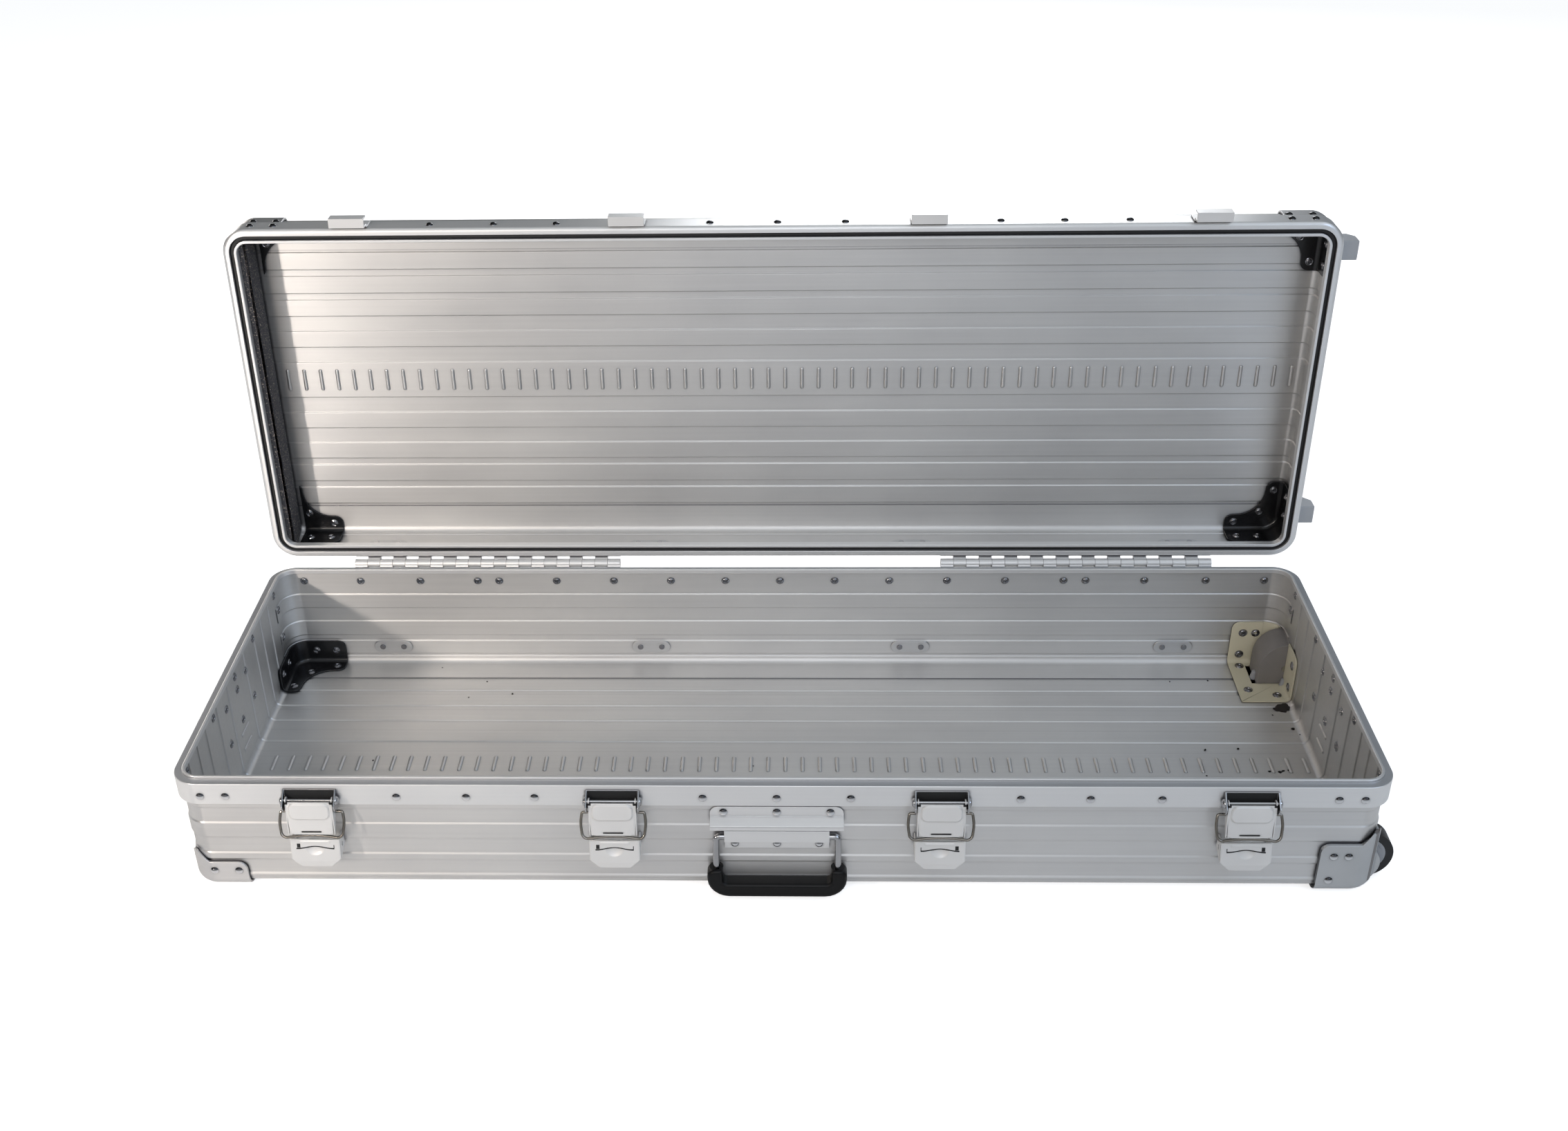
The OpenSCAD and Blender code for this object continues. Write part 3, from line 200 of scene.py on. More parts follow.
def eased(corners, steps=4):
    """Outline with its corners rounded: each corner is (x, y, radius)."""
    out = []
    for i, (x, y, r) in enumerate(corners):
        if not r:
            out.append((x, y))
            continue
        here = Vector((x, y))
        before = (Vector(corners[i - 1][:2]) - here).normalized()
        after = (Vector(corners[(i + 1) % len(corners)][:2]) - here).normalized()
        half = before.angle(after) / 2
        back = r / math.tan(half)
        centre = here + (before + after).normalized() * (r / math.sin(half))
        a, b = here + before * back - centre, here + after * back - centre
        turn = a.angle_signed(b)
        for k in range(steps + 1):
            t = -turn * k / steps
            c, s = math.cos(t), math.sin(t)
            out.append((centre.x + a.x * c - a.y * s, centre.y + a.x * s + a.y * c))
    return out


def ring(outline):
    """Outline of (outwards from the corner axis, height) swept once round the case."""
    loops = []
    for k, (sx, sy) in enumerate(((1, 1), (-1, 1), (-1, -1), (1, -1))):
        for i in range(CORNER_STEPS + 1):
            a = math.radians(90 * k + 90 * i / CORNER_STEPS)
            loops.append([(sx * AXIS_X + q * math.cos(a), sy * AXIS_Y + q * math.sin(a), z)
                          for q, z in outline])
    return loft(loops, closed=True)


def smooth(t):
    """Eases from 0 to 1."""
    t = min(max(t, 0.0), 1.0)
    return t * t * (3 - 2 * t)


def bent_plate(front, across, down, thick):
    """Thin plate whose front point is given by a function of two shares from 0 to 1."""
    rows = [[front(i / across, j / down) for i in range(across + 1)] for j in range(down + 1)]
    back = [[(x, d - thick, z) for x, d, z in row] for row in rows]
    wide, count = across + 1, (across + 1) * (down + 1)
    points = [p for row in rows + back for p in row]
    cells = [(j * wide + i, j * wide + i + 1, (j + 1) * wide + i + 1, (j + 1) * wide + i)
             for j in range(down) for i in range(across)]
    faces = cells + [tuple(count + k for k in f[::-1]) for f in cells]
    rim = list(range(wide)) + [j * wide + across for j in range(1, down + 1)]
    rim += [down * wide + i for i in range(across - 1, -1, -1)]
    rim += [j * wide for j in range(down - 1, 0, -1)]
    for a, b in zip(rim, rim[1:] + rim[:1]):
        faces.append((b, a, count + a, count + b))
    return points, faces


def tube(path, radius, sides=12):
    """Round wire along a path of points."""
    path = [Vector(p) for p in path]
    ways = [(b - a).normalized() for a, b in zip(path, path[1:])]
    ways = [ways[0]] + [(a + b).normalized() for a, b in zip(ways, ways[1:])] + [ways[-1]]
    side, loops = ways[0].orthogonal().normalized(), []
    for here, way in zip(path, ways):
        side = (side - way * side.dot(way)).normalized()
        other = way.cross(side)
        loops.append([tuple(here + side * (radius * math.cos(2 * math.pi * k / sides))
                            + other * (radius * math.sin(2 * math.pi * k / sides)))
                      for k in range(sides)])
    return loft(loops)


def turned(profile, centre, axis, rounds=24, wide=1.0):
    """Turned shape: profile of (radius, height) in millimetres, its centre in metres."""
    axis = Vector(axis).normalized()
    side = axis.orthogonal().normalized()
    other = axis.cross(side)
    loops = []
    for i in range(rounds):
        a = 2 * math.pi * i / rounds
        way = side * math.cos(a) + other * math.sin(a)
        loops.append([tuple((Vector(centre) + way * r * wide * MM + axis * h * MM) / MM)
                      for r, h in profile])
    n, points = len(profile), [p for loop in loops for p in loop]
    faces = []
    for k in range(rounds):
        a, b = k * n, (k + 1) % rounds * n
        faces += [(a + i, a + i + 1, b + i + 1, b + i) for i in range(n - 1)]
    faces.append(tuple(k * n + n - 1 for k in range(rounds)))
    return points, faces


# Sheets with soft pressed ribs
def rib_levels(edges, low, high, soft=RIB_SOFT):
    """Places along a ribbed sheet with their depth, starting on an inward band."""
    out = [(low, RIB_STEP if sum(e < low for e in edges) % 2 == 0 else 0.0)]
    for i, e in enumerate(edges):
        if not low < e < high:
            continue
        a, b = (RIB_STEP, 0.0) if i % 2 == 0 else (0.0, RIB_STEP)
        out += [(e + t * soft, a + (b - a) * smooth((t + 1) / 2)) for t in SLOPE_SHARES]
    out.append((high, RIB_STEP if sum(e < high for e in edges) % 2 == 0 else 0.0))
    return out


def wall_line(extra, ribs, top, start, soft):
    """Section of a side wall: a flange on the floor, the rolled edge and the ribbed wall."""
    floor = RIB_STEP + extra
    line = [(start, floor), (0, floor)]
    line += arc(WALL_Q - ROLL_R, ROLL_R, ROLL_R - floor, -90, 0, ROLL_STEPS)
    line += [(WALL_Q - extra - depth, z) for z, depth in rib_levels(ribs, ROLL_R, top, soft)[1:]]
    return line


def side_sheet(side, ribs, top):
    """Front or rear wall, wrapped round both corners as far as the seams."""
    soft, back = FRONT_RIB_SOFT if side < 0 else RIB_SOFT, SEAM_Y - AXIS_Y

    def loop(cx, cy, degrees, start):
        a = math.radians(degrees)
        line = (wall_line(0, ribs, top, start, soft)
                + wall_line(SHEET_T, ribs, top, start, soft)[::-1])
        return [(cx + q * math.cos(a), side * (cy + q * math.sin(a)), z) for q, z in line]

    corner = [90 * i / CORNER_STEPS for i in range(CORNER_STEPS + 1)]
    loops = [loop(AXIS_X, SEAM_Y, 0, 0)]
    loops += [loop(AXIS_X, AXIS_Y, degrees, 0) for degrees in corner]
    loops += [loop(AXIS_X, AXIS_Y, 90, back), loop(-AXIS_X, AXIS_Y, 90, back)]
    loops += [loop(-AXIS_X, AXIS_Y, 90 + degrees, 0) for degrees in corner]
    loops.append(loop(-AXIS_X, SEAM_Y, 180, 0))
    return loft(loops)


def u_line(inset, top):
    """Section along the case of the sheet that is floor and both end walls."""
    x, r = WALL_X - inset, ROLL_R - inset
    line = [(-x, top)] + arc(-WALL_X + ROLL_R, ROLL_R, r, 180, 270, ROLL_STEPS)
    return line + arc(WALL_X - ROLL_R, ROLL_R, r, 270, 360, ROLL_STEPS) + [(x, top)]


def u_sheet(top):
    """Floor and end walls, with the ribs drawn towards the front in the middle."""
    half = rib_levels(FLOOR_RIBS, 0, SEAM_Y)
    rows = [(-y, d) for y, d in half[::-1]] + half[1:]
    return loft([[(x, y - COMB_DY * (1 - (y / SEAM_Y) ** 2), z)
                  for x, z in u_line(d, top) + u_line(d + SHEET_T, top)[::-1]] for y, d in rows])


def bead(x, y, z, up, length=BEAD_LENGTH, width=BEAD_WIDTH, height=BEAD_HEIGHT):
    """Short pressed bead lying along Y; up is the way that it stands out."""
    up = Vector(up)
    across = Vector((0, 1, 0)).cross(up)
    points, faces, rounds = [], [], BEAD_ROUNDS
    for ring_no, (grow, lift) in enumerate(BEAD_PROFILE):
        for i in range(rounds):
            a = 2 * math.pi * i / rounds
            w = width / 2 * grow
            along = math.sin(a) * w + math.copysign(length / 2 - width / 2, math.sin(a) or 1)
            p = Vector((x, y, z)) + across * (math.cos(a) * w) + up * (lift * height)
            points.append((p.x, p.y + along, p.z))
        if ring_no:
            b = ring_no * rounds
            faces += [(b - rounds + i, b - rounds + (i + 1) % rounds, b + (i + 1) % rounds, b + i)
                      for i in range(rounds)]
    faces.append(tuple(range(len(points) - rounds, len(points))))
    return points, faces


# Colours and node materials
def colour(hexa):
    """sRGB hex to linear RGBA."""
    values = [int(hexa[i:i + 2], 16) / 255 for i in (1, 3, 5)]
    return tuple(v / 12.92 if v <= 0.04045 else ((v + 0.055) / 1.055) ** 2.4 for v in values) + (1,)


def add(tree, kind, settings=(), **links):
    """Adds a node, sets its settings or input values, and links its inputs."""
    node = tree.nodes.new(kind)
    for key, value in dict(settings).items():
        if isinstance(key, str) and hasattr(node, key):
            setattr(node, key, value)
        else:
            node.inputs[key].default_value = value
    for key, source in links.items():
        tree.links.new(source, node.inputs[int(key[1:]) if key[1:].isdigit() else key])
    return node


def material(name, light, dark, stops, roughness, metallic=0.0, **more):
    """New material that goes from a dark to a light tone while a signal goes from one stop to
    the other; more sets further sockets, with _ for a space. The signal's socket comes last."""
    mat = bpy.data.materials.new(name)
    mat.use_nodes = True
    tree = mat.node_tree
    shader = tree.nodes["Principled BSDF"]
    shader.inputs["Base Color"].default_value = colour(light)
    shader.inputs["Roughness"].default_value = roughness
    shader.inputs["Metallic"].default_value = metallic
    for key, value in more.items():
        shader.inputs[key.replace("_", " ")].default_value = value
    tones = add(tree, "ShaderNodeValToRGB")
    for stop, position, hexa in zip(tones.color_ramp.elements, stops, (dark, light)):
        stop.position = position
        stop.color = colour(hexa)
    tree.links.new(tones.outputs[0], shader.inputs["Base Color"])
    return mat, tree, shader, tones.inputs[0]


def in_patches(tree, along_mm, across_mm):
    """Place on the object, counted in patches of a real size along the case and across it."""
    place = add(tree, "ShaderNodeTexCoord").outputs["Object"]
    scale = (1000 / along_mm, 1000 / across_mm, 1000 / across_mm)
    return add(tree, "ShaderNodeMapping", {"Scale": scale}, i0=place).outputs[0]


def tint_where(mat, signal, start, end, tone):
    """Turns the base colour to another tone while a signal goes from start to end."""
    tree = mat.node_tree
    target = tree.nodes["Principled BSDF"].inputs["Base Color"]
    share = add(tree, "ShaderNodeMapRange", {"From Min": start, "From Max": end}, Value=signal)
    mix = add(tree, "ShaderNodeMix", {"data_type": "RGBA", 7: colour(tone)}, i0=share.outputs[0],
              i6=target.links[0].from_socket)
    tree.links.new(mix.outputs[2], target)


# Patches of the sheets' tone and spacing of their drawn lines, along the case and across it, and
# how much the lines add to the tone
CLOUD_MM, LINES_MM, LINES_SHARE = (200, 125), (250, 3.84615), 0.35
FINE_CLOUD_MM, CRUMB_MM = 71.4286, 1.6
SATIN_STOPS, GRAINED_STOPS = (0.4, 0.95), (0.3, 0.7)


def satin_metal(name, light, dark, roughness, metallic=0.94):
    """Cloudy tone, and a grain of drawn lines along the case that spreads the light across
    itself. The lines are drawn coarser than the real ones, about 4 mm apart, so that they show."""
    mat, tree, shader, signal = material(name, light, dark, SATIN_STOPS, roughness, metallic,
                                         Anisotropic=0.7, Anisotropic_Rotation=0.25)
    cloud = add(tree, "ShaderNodeTexNoise", {"Scale": 1.0, "Detail": 4.0},
                i0=in_patches(tree, *CLOUD_MM)).outputs["Fac"]
    lines = add(tree, "ShaderNodeTexNoise", {"Scale": 1.0, "Detail": 3.0},
                i0=in_patches(tree, *LINES_MM)).outputs["Fac"]
    both = add(tree, "ShaderNodeMath", {"operation": "MULTIPLY_ADD", 1: LINES_SHARE}, i0=lines,
               i2=cloud)
    tree.links.new(both.outputs[0], signal)
    rough = add(tree, "ShaderNodeMapRange", {"To Min": roughness - 0.03, "To Max": roughness + 0.05},
                Value=cloud)
    tree.links.new(rough.outputs[0], shader.inputs["Roughness"])
    bump = add(tree, "ShaderNodeBump", {"Strength": 0.06, "Distance": 0.3 * MM}, Height=lines)
    tree.links.new(bump.outputs[0], shader.inputs["Normal"])
    facing = add(tree, "ShaderNodeNewGeometry").outputs["Normal"]
    along = add(tree, "ShaderNodeVectorMath", {"operation": "CROSS_PRODUCT", 1: (0, 1, 0.25)},
                i0=facing)
    tree.links.new(along.outputs[0], shader.inputs["Tangent"])
    return mat


def grained_finish(name, light, dark, roughness, grain_mm, depth, metallic=0.0, **more):
    """Cloudy tone and a fine grain of a real size, about a third of that size deep."""
    mat, tree, shader, signal = material(name, light, dark, GRAINED_STOPS, roughness, metallic,
                                         **more)
    cloud = add(tree, "ShaderNodeTexNoise", {"Scale": 1.0, "Detail": 3.0},
                i0=in_patches(tree, FINE_CLOUD_MM, FINE_CLOUD_MM))
    tree.links.new(cloud.outputs["Fac"], signal)
    grain = add(tree, "ShaderNodeTexNoise", {"Scale": 1.0, "Detail": 2.0},
                i0=in_patches(tree, grain_mm, grain_mm))
    bump = add(tree, "ShaderNodeBump", {"Strength": depth, "Distance": grain_mm * MM * 0.3},
               Height=grain.outputs["Fac"])
    tree.links.new(bump.outputs[0], shader.inputs["Normal"])
    return mat


# Each finish: name, light and dark tone, roughness, and for the grained ones grain and depth
# Rolled sheet, anodised: soft bright band across the grain, no mirror image
SHEET = satin_metal("anodised_aluminium_sheet", "#dcdbd9", "#cdcccb", 0.42)
# Extruded and anodised: smoother and whiter than the sheet, so the rims stand out as lines
EXTRUSION = satin_metal("anodised_aluminium_extrusion", "#e5e5e4", "#dddddd", 0.36, 0.72)
# The rim's flat cap, painted a darker grey as a reflection of a dark ceiling
CAP_PAINTED_REFLECTION = satin_metal("extrusion_cap_painted_reflection", "#bcbec1", "#b3b5b8", 0.4, 0.72)
# Pressed from the same sheet as the case
GUARD = satin_metal("pressed_aluminium_guard", "#dad9d8", "#cecdcd", 0.42)
# Die cast and powder coated: even mid grey with a fine orange peel
CASTING = grained_finish("powder_coated_zinc_casting", "#b9bbbc", "#aeb0b1", 0.38, 0.6, 0.15,
                         metallic=0.35)
# Bare inside of the casting, darker and duller
ARCH = grained_finish("dark_grey_cast_arch", "#7d7a78", "#6d6a69", 0.5, 0.7, 0.2)
# Polished domes, with a painted reflection: the crown is painted dark, as if it mirrored a dark
# ceiling, and the lower half stays bright
RIVET = grained_finish("polished_steel_rivet", "#e2e2e3", "#d6d6d8", 0.12, 0.8, 0.02, metallic=1.0)
# Back ends of the rivets, crushed, in a darker tone than the heads
TAIL_STEEL = grained_finish("dark_tone_rivet_tail", "#98989b", "#7f7f82", 0.2, 0.8, 0.05,
                            metallic=1.0)
# Bright nickel plate: near mirror with small dark and light streaks
STEEL = grained_finish("nickel_plated_steel", "#b9b9ba", "#a2a2a4", 0.16, 0.8, 0.04, metallic=1.0)
# Satin nickel, tumbled before plating: pale and almost white under the lamps
LATCH = grained_finish("satin_nickel_latch_steel", "#dddcda", "#d4d3d1", 0.36, 0.5, 0.08,
                       metallic=0.25)
# Injection moulded, lightly sparked: black with a weak sheen
GRIP = grained_finish("moulded_black_nylon", "#0a0a0b", "#070708", 0.34, 0.5, 0.2,
                      Specular_IOR_Level=0.22)
# Unpigmented nylon, yellowed: creamy, waxy sheen
NYLON = grained_finish("ivory_moulded_nylon", "#cfcab4", "#c3bea7", 0.4, 0.8, 0.08)
# Glass filled nylon from a polished mould: black with sharp highlights
PLATE = grained_finish("black_glass_filled_nylon", "#151517", "#0e0e10", 0.26, 0.6, 0.05)
# Extruded rubber: a matt black line
SEAL = grained_finish("black_rubber_seal", "#161617", "#101011", 0.55, 0.4, 0.1)
# Cast polyurethane: black, slightly shiny
TYRE = grained_finish("black_polyurethane_tyre", "#141415", "#0e0e0f", 0.45, 0.6, 0.15)
# Moulded grey plastic: even and dull
HUB = grained_finish("grey_moulded_hub", "#96989c", "#8b8d91", 0.45, 0.5, 0.1)
# Moulded grey blocks, matt from wear
FOOT = grained_finish("grey_moulded_foot", "#abadb0", "#a1a3a6", 0.5, 0.5, 0.1)
# Crumb foam, cut: dull dark grey with pale crumbs
FOAM = grained_finish("speckled_foam_rubber", "#444346", "#39383b", 0.95, 2.5, 0.7)
# Drawn wire, oiled: darker than the plated steel, one bright line along it
WIRE = grained_finish("dark_steel_wire", "#8d8881", "#7b766f", 0.22, 0.8, 0.04, metallic=1.0)
# Brushed plate under the screws, close to the sheet in tone
PLATED = satin_metal("brushed_backing_plate", "#cfcfcf", "#c4c4c4", 0.42)
# Painted shade: black that stands in for deep gaps, where hardly any light comes back
GAP = grained_finish("painted_shade_black", "#141415", "#0c0c0d", 0.7, 0.5, 0.05)
# Dry dirt: dark and without any shine
DIRT = grained_finish("dried_dirt", "#2b2623", "#171412", 0.9, 0.4, 0.3)

# Painted reflection: the rivets turn dark grey where their surface faces upwards
upward = add(RIVET.node_tree, "ShaderNodeSeparateXYZ",
             i0=add(RIVET.node_tree, "ShaderNodeNewGeometry").outputs["Normal"]).outputs["Z"]
tint_where(RIVET, upward, 0.1, 0.5, "#3d3d3f")
crumbs = add(FOAM.node_tree, "ShaderNodeTexNoise", {"Scale": 1.0, "Detail": 1.0},
             i0=in_patches(FOAM.node_tree, CRUMB_MM, CRUMB_MM)).outputs["Fac"]
tint_where(FOAM, crumbs, 0.62, 0.7, "#a79c8f")

# Painted shade: the colour turns to a darker tone where another surface stands close by; reach in
# millimetres and tone
for finish, reach_mm, tone in (
    (SHEET, 4.0, "#77767a"), (EXTRUSION, 3.0, "#77767a"), (GUARD, 3.0, "#77767a"),
    (LATCH, 2.5, "#6d6b6a"), (CASTING, 3.0, "#55565a"), (NYLON, 3.0, "#8f8a76"),
):
    openness = add(finish.node_tree, "ShaderNodeAmbientOcclusion",
                   {"samples": 8, "Distance": reach_mm * MM}).outputs["AO"]
    tint_where(finish, openness, 0.95, 0.45, tone)

SLOT_FINISH = {"sheet": SHEET, "rim": EXTRUSION, "guard": GUARD, "casting": CASTING,
               "rivet": RIVET, "hardware": STEEL, "latch": LATCH, "grip": GRIP,
               "nylon": NYLON, "black_plate": PLATE, "gasket": SEAL, "tyre": TYRE,
               "hub": HUB, "foam": FOAM, "foot": FOOT}

# Every node of the model gets its finish; the pieces below then stand for some of them
for row in frame["record"]["subparts"]:
    node = frame["nodes"][row["node"]]
    node.data.materials.clear()
    node.data.materials.append(SLOT_FINISH[row["material_slot"]])

# Sheets of the base and of the lid, the base's cut out over the wheels
BELOW_FLOOR = -5
arches = []
for side in SIDES:
    outline = [(WHEEL_X + ARCH_R, BELOW_FLOOR)]
    outline += arc(WHEEL_X, WHEEL_Z, ARCH_R, 0, 180, ARCH_STEPS)
    outline.append((WHEEL_X - ARCH_R, BELOW_FLOOR))
    arches.append(loft([[(x, side * y, z) for x, z in outline] for y in (ARCH_IN, ARCH_OUT)]))

for name, parts, place, body, node in (
    ("base_floor", [u_sheet(BASE_SHEET_H)], on_base_sheet, "base", "base_floor_sheet"),
    ("base_sides", [side_sheet(side, WALL_RIBS, BASE_SHEET_H) for side in SIDES],
     on_base_sheet, "base", "base_side_sheets"),
    ("lid_panel", [u_sheet(LID_SHEET_H)], on_lid_sheet, "lid", "lid_panel_sheet"),
    ("lid_sides", [side_sheet(side, LID_RIBS, LID_SHEET_H) for side in SIDES],
     on_lid_sheet, "lid", "lid_side_sheets"),
):
    made = piece(name, parts, place, SHEET, body, (node,), angle=50)
    if body == "base":
        cut(made, arches)

inner_face = RIB_STEP + SHEET_T
beads = [bead(BEAD_PITCH * i + COMB_DX, -COMB_DY, inner_face, (0, 0, 1))
         for i in range(-BEADS_EACH_WAY, BEADS_EACH_WAY + 1)]
piece("lid_beads", beads, on_lid_sheet, SHEET, "lid", angle=60)
beads += [bead(-side * (WALL_X - inner_face), 0, z, (side, 0, 0))
          for side in SIDES for z in END_WALL_BEADS]
piece("base_beads", beads, on_base_sheet, SHEET, "base", angle=60)

# Rims and seal: distance from the corner's axis, height, and radius of the edge
FINE_EDGE, CAP_EDGE, TONGUE_EDGE, TONGUE_ROOT = 0.5, 0.9, 0.8, 0.4
tongue_in = CORNER_R - RIM_CAP
tongue_out, tongue_top = tongue_in + TONGUE_T, BASE_TOP + TONGUE_H
leg_foot, cap_under = BASE_TOP - RIM_LEG, BASE_TOP - RIM_T
base_rim = eased([
    (CORNER_R, leg_foot, FINE_EDGE), (CORNER_R, BASE_TOP, CAP_EDGE),
    (tongue_out, BASE_TOP, TONGUE_ROOT), (tongue_out, tongue_top, TONGUE_EDGE),
    (tongue_in, tongue_top, TONGUE_EDGE), (tongue_in, cap_under, FINE_EDGE),
    (WALL_Q, cap_under, 0), (WALL_Q, leg_foot, 0)])
rim = piece("base_rim_frame", [ring(base_rim)], on_base, EXTRUSION, "base", ("base_rim",))
rim.data.materials.append(CAP_PAINTED_REFLECTION)
# Painted reflection: the rim's upward cap faces get the darker cap finish
for face in rim.data.polygons:
    if face.normal.z > 0.95 and abs(face.center.z / MM - BASE_TOP) < 0.2:
        face.material_index = 1

groove_out = CORNER_R - LID_FLANGE
groove_in = groove_out - GROOVE_W
lip_in = groove_in - LIP_W
leg_end, rim_back = PLANE + RIM_LEG, PLANE + LID_RIM_D
groove = rim_back - RIM_T + GROOVE_UP
lid_rim = eased([
    (WALL_Q, leg_end, 0), (CORNER_R, leg_end, FINE_EDGE), (CORNER_R, PLANE, RIM_ROUND),
    (groove_out, PLANE, FINE_EDGE), (groove_out, groove, 0), (groove_in, groove, 0),
    (groove_in, PLANE, FINE_EDGE), (lip_in, PLANE, TONGUE_EDGE), (lip_in, rim_back, FINE_EDGE),
    (WALL_Q, rim_back, 0)])
piece("lid_rim_frame", [ring(lid_rim)], on_lid, EXTRUSION, "lid", ("lid_rim",))

SEAL_PLAY, SEAL_H, SEAL_ROUND = 0.1, 3.2, 1.2
seal_out, seal_in = groove_out - SEAL_PLAY, groove_in + SEAL_PLAY
seal = eased([(seal_out, groove, 0), (seal_out, groove - SEAL_H, SEAL_ROUND),
              (seal_in, groove - SEAL_H, SEAL_ROUND), (seal_in, groove, 0)])
piece("lid_seal", [ring(seal)], on_lid, SEAL, "lid", ("lid_gasket",))


# Rivets: each head and tail of the model gets a smooth one in the same place
def lumps(mesh):
    """Corners of the separate solids in a mesh."""
    bm = bmesh.new()
    bm.from_mesh(mesh)
    bmesh.ops.remove_doubles(bm, verts=bm.verts, dist=DOUBLE)
    seen, out = set(), []
    for v in bm.verts:
        if v.index in seen:
            continue
        todo, found = [v], []
        seen.add(v.index)
        while todo:
            w = todo.pop()
            found.append(w.co.copy())
            for e in w.link_edges:
                o = e.other_vert(w)
                if o.index not in seen:
                    seen.add(o.index)
                    todo.append(o)
        out.append(np.array(found))
    bm.free()
    return out


# Domed head and crushed tail: radius and height
HEAD = [(0.0, 2.4), (1.0, 2.33), (2.0, 2.1), (2.9, 1.68), (3.6, 1.1), (4.0, 0.55), (4.1, 0.2),
        (4.1, 0.0)]
TAIL = [(0.0, 0.3), (1.5, 0.3), (1.7, 1.0), (2.1, 1.4), (2.6, 1.35), (3.2, 0.8), (3.7, 1.0),
        (4.4, 0.7), (4.7, 0.0)]
# The model's heads are wider than this, and its tails have a hole narrower than that
HEAD_OVER, HOLE_UNDER, BASE_SHARE = 3.8, 1.8, 0.97
# The tails in the wheel corners are larger
WHEEL_END_X, WHEEL_END_TOP, LARGER = 530, 85, 1.12


def rivets(node, body):
    heads, tails = [], []
    for points in lumps(frame["nodes"][node].data):
        middle = (points.max(0) + points.min(0)) / 2
        axis = np.linalg.svd(points - points.mean(0))[2][2]
        along = (points - middle) @ axis
        far = np.linalg.norm((points - middle) - np.outer(along, axis), axis=1)
        is_head = far.max() > HEAD_OVER * MM
        if is_head:
            top = -along[far > far.max() * BASE_SHARE].mean()
        else:
            top = along[far < HOLE_UNDER * MM].mean()
        axis = axis if top > 0 else -axis
        seat = middle - axis * np.ptp(along) / 2
        if is_head:
            heads.append(turned(HEAD, seat, axis))
        else:
            larger = body == "base" and seat[0] > WHEEL_END_X * MM and seat[2] < WHEEL_END_TOP * MM
            tails.append(turned(TAIL, seat, axis, wide=LARGER if larger else 1.0))
    piece(node + "_heads", heads, as_drawn, RIVET, body, (node,), angle=40)
    if tails:
        piece(node + "_tails", tails, as_drawn, TAIL_STEEL, body, angle=40)


for node, body in (("base_rivets_front", "base"), ("base_rivets_rear", "base"),
                   ("base_rivets_ends", "base"), ("base_corner_rivets", "base"),
                   ("handle_rivets", "base"), ("lid_rivets_front", "lid"),
                   ("lid_rivets_rear", "lid"), ("lid_corner_rivets", "lid")):
    rivets(node, body)

# Plain parts of the model with their edges eased
BEND, FLAT, PLATE_UNDER, CORNER_CUTS = math.radians(25), math.radians(1.0), 3.4, 5


def bends(bm, shorter_than=math.inf):
    """Edges at which the surface turns sharply."""
    return [e for e in bm.edges if len(e.link_faces) == 2 and e.calc_length() < shorter_than
            and e.calc_face_angle(0) > BEND]


def eased_copy(node, width, finish=None, corner=0):
    """A copy of a node with its sharp edges rounded by a given width in millimetres, and the
    corners of a plate's outline by a wider one."""
    mesh = frame["nodes"][node].data.copy()
    bm = bmesh.new()
    bm.from_mesh(mesh)
    bmesh.ops.remove_doubles(bm, verts=bm.verts, dist=DOUBLE)
    bmesh.ops.dissolve_limit(bm, angle_limit=FLAT, verts=bm.verts, edges=bm.edges)
    if corner:
        bmesh.ops.bevel(bm, geom=bends(bm, PLATE_UNDER * MM), offset=corner * MM,
                        segments=CORNER_CUTS, profile=0.5, affect="EDGES", clamp_overlap=True)
    bmesh.ops.bevel(bm, geom=bends(bm), offset=width * MM, segments=4 if width > 1 else 2,
                    profile=0.5, affect="EDGES", clamp_overlap=False)
    bm.to_mesh(mesh)
    bm.free()
    mesh.name = node + "_eased"
    obj = bpy.data.objects.new(node + "_eased", mesh)
    bpy.context.scene.collection.objects.link(obj)
    tidy(mesh, 40)
    row = next(r for r in frame["record"]["subparts"] if r["node"] == node)
    slot = row["material_slot"]
    body = next(b for b, names in frame["record"]["behaviour"]["bodies"].items() if node in names)
    return settle(obj, finish or SLOT_FINISH[slot], body, (node,))


SPECIAL = {"inner_plate_front_right": {"corner": 7}, "inner_plate_rear_right": {"corner": 7},
           "base_backing_plates": {"finish": PLATED}, "lid_backing_plates": {"finish": PLATED},
           "base_backing_screws": {"finish": TAIL_STEEL}, "handle_plates": {"finish": EXTRUSION}}
for node, width in (
    ("guard_front_left", 0.6), ("guard_rear_left", 0.6), ("lid_corner_guards", 0.6),
    ("wheel_corner_front", 0.7), ("wheel_corner_rear", 0.7),
    ("inner_plate_front_right", 0.5), ("inner_plate_rear_right", 0.5),
    ("inner_plates_left", 0.5), ("lid_inner_plates", 0.5), ("standing_feet", 1.2),
    ("keepers", 0.35), ("latch_brackets", 0.3), ("latch_catches", 0.3), ("handle_plates", 0.3),
    ("latch_lever_1", 0.3), ("latch_lever_2", 0.3), ("latch_lever_3", 0.3), ("latch_lever_4", 0.3),
    ("foam_strip", 4.5),
    ("base_backing_plates", 0.4), ("lid_backing_plates", 0.4), ("base_backing_screws", 0.5),
    ("lid_backing_screws", 0.5), ("base_bumpers", 1.5), ("handle_grip_front", 3.5),
    ("handle_grip_left", 3.5), ("handle_grip_right", 3.5),
):
    eased_copy(node, width, **SPECIAL.get(node, {}))

